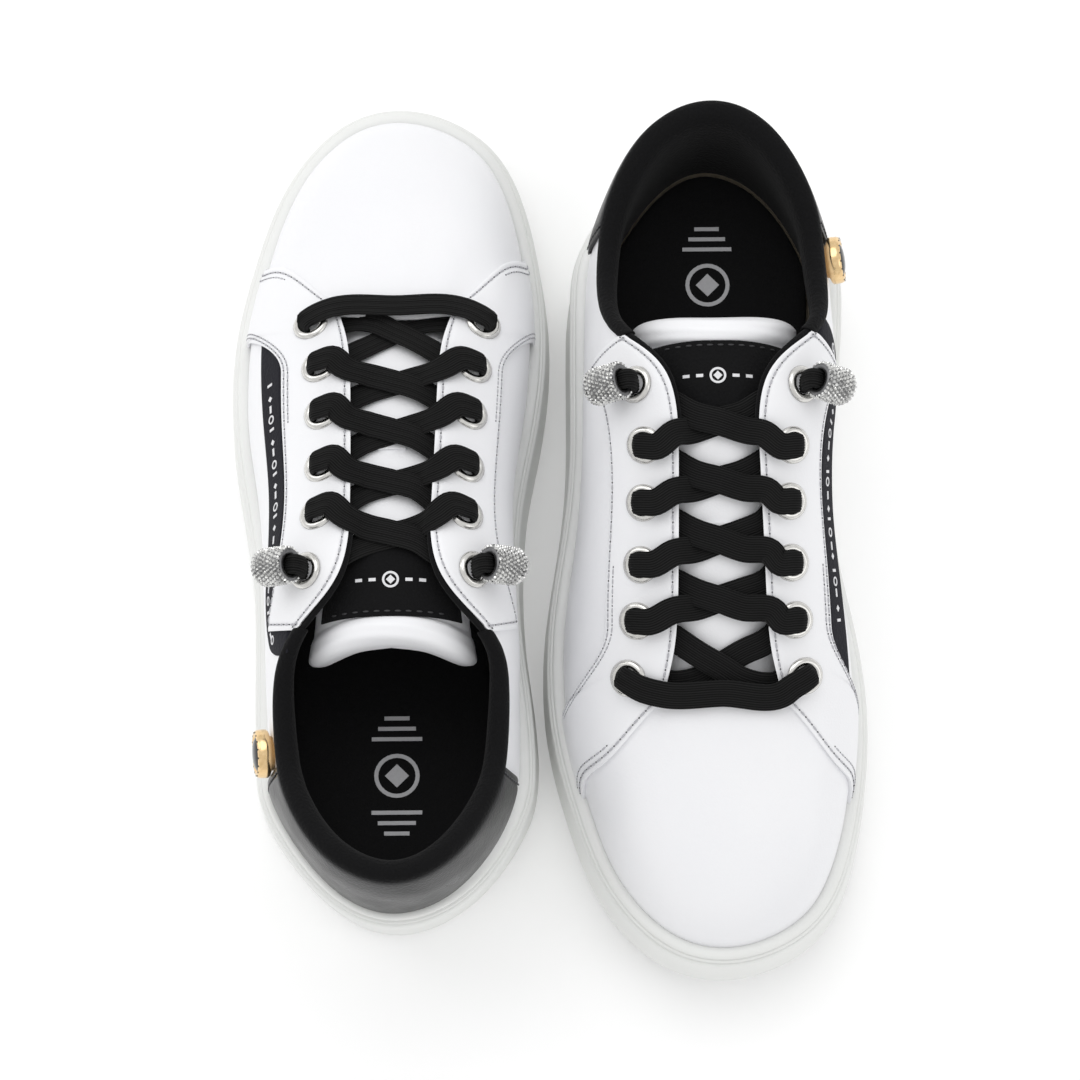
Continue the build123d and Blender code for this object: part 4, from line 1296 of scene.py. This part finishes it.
def make_stud(shoe):
    a, t = np.meshgrid(np.arange(2, 4, 0.05), np.arange(0.2, 0.9, 0.02))
    gap = np.hypot(*np.moveaxis(shoe.last.wall(a, t)[..., 1:] - STUD_AT, -1, 0))
    at = np.unravel_index(gap.argmin(), gap.shape)
    point, out = shoe.last.wall(a[at], t[at]), shoe.last.normal(a[at], t[at])
    stand = seat(shoe, point - out * STUD_SUNK, out)
    body = f"shoe_{shoe.side}"
    rim = spun(RIM_PROFILE, 48)
    rim.transform(stand)
    give(link_piece(f"stud_cup_{shoe.side}", rim, GOLD), body, "gold", f"stud_rim_{shoe.side}")
    face = spun(FACE_PROFILE, 40)
    face.transform(stand)
    give(link_piece(f"stud_dome_{shoe.side}", face, ENAMEL), body, "black_enamel", f"stud_face_{shoe.side}")
    hole = template_of(spun([(0, 0.02), (RIM_HOLE_R, 0.0), (RIM_HOLE_R, -0.3), (0, -0.3)], 10))
    first = Matrix.Translation((RIM_MIDDLE, 0, RIM_TOP))
    places = [stand @ Matrix.Rotation(2 * math.pi * k / RIM_HOLES, 4, "Z") @ first for k in range(RIM_HOLES)]
    return give(link_piece(f"stud_holes_{shoe.side}", gather(hole, places), ENAMEL), body, "gold")


for shoe in SHOES:
    print(make_stud(shoe).name)

# %% [markdown]
# ## Stitches
# Every row was marked while its panel was made. Now one small spindle is copied to each mark, and a darker
# dimple to each needle hole between two stitches. The dimple is painted shade inside the hole, and the white
# thread is painted mid grey as shade on stitches sunk in their troughs.

# %% Stitches and throat edging
EDGING_FROM, EDGING_TO, EDGING_COUNT = 5.02, 6.6, 60


def spindle(length, radius, sides=8, rings=5):
    bm = bmesh.new()
    bmesh.ops.create_uvsphere(bm, u_segments=sides, v_segments=rings, radius=1)
    bmesh.ops.rotate(bm, verts=bm.verts, cent=(0, 0, 0), matrix=Matrix.Rotation(math.pi / 2, 3, "X"))
    bmesh.ops.scale(bm, verts=bm.verts, vec=(radius, length / 2, radius * 0.8))
    return template_of(bm)


def make_stitches(shoe):
    for kind, finish, slot in (("white", WHITE_THREAD_PAINTED_SHADE, "white_leather"), ("black", BLACK_THREAD, "black_leather"),
                               ("hole", NEEDLE_HOLE_PAINTED_SHADE, "white_leather")):
        template = spindle(STITCH_LENGTH, STITCH_R) if kind != "hole" else spindle(0.75, 0.26, 6, 4)
        piece = link_piece(f"stitches_{kind}_{shoe.side}", gather(template, shoe.sewn[kind]), finish)
        give(piece, f"shoe_{shoe.side}", slot)
        print(piece.name, len(shoe.sewn[kind]))


def make_edging(shoe):
    """The lining's thin black edge along the back of the throat."""
    strips = []
    for sign in (1, -1):
        a = sign * np.linspace(EDGING_FROM, EDGING_TO, EDGING_COUNT)
        out = shoe.last.normal(a, 0.98)
        top = shoe.last.wall(a, 1.0)
        rise = unit(top - shoe.last.wall(a, 0.96))
        widths, thicks = np.linspace(2.2, 1.6, EDGING_COUNT), np.full(EDGING_COUNT, 1.6)
        strips.append(band(top + rise * 0.25 - out * 0.5, out, widths, thicks, shoe, around=12))
    piece = link_piece(f"throat_edging_{shoe.side}", joined(strips), LINING)
    return give(piece, f"shoe_{shoe.side}", "black_lining")


for shoe in SHOES:
    make_stitches(shoe)
    print(make_edging(shoe).name)

# %% [markdown]
# ## Inner pieces
# The filler, the board, the stiffeners and the stud's post are hidden inside. Their solids are already right, so
# they only get a finish.

# %% Inner pieces and the size of the model
FOAM = make_cloth("foam", (0.62, 0.62, 0.58), (0.74, 0.74, 0.70), 900, 0.6)
BOARD = make_cloth("board", (0.30, 0.26, 0.20), (0.42, 0.37, 0.29), 500, 0.3)
STIFFENER = make_cloth("stiffener", (0.55, 0.52, 0.46), (0.66, 0.63, 0.57), 700, 0.3)
INNER = {"midsole_filler": FOAM, "insole_board": BOARD, "toe_puff": STIFFENER, "heel_counter": STIFFENER,
         "stud_post": GOLD}
for shoe in SHOES:
    for node, finish in INNER.items():
        mesh = frame["nodes"][f"{node}_{shoe.side}"].data
        mesh.materials.clear()
        mesh.materials.append(finish)
print("inner pieces finished:", ", ".join(INNER))
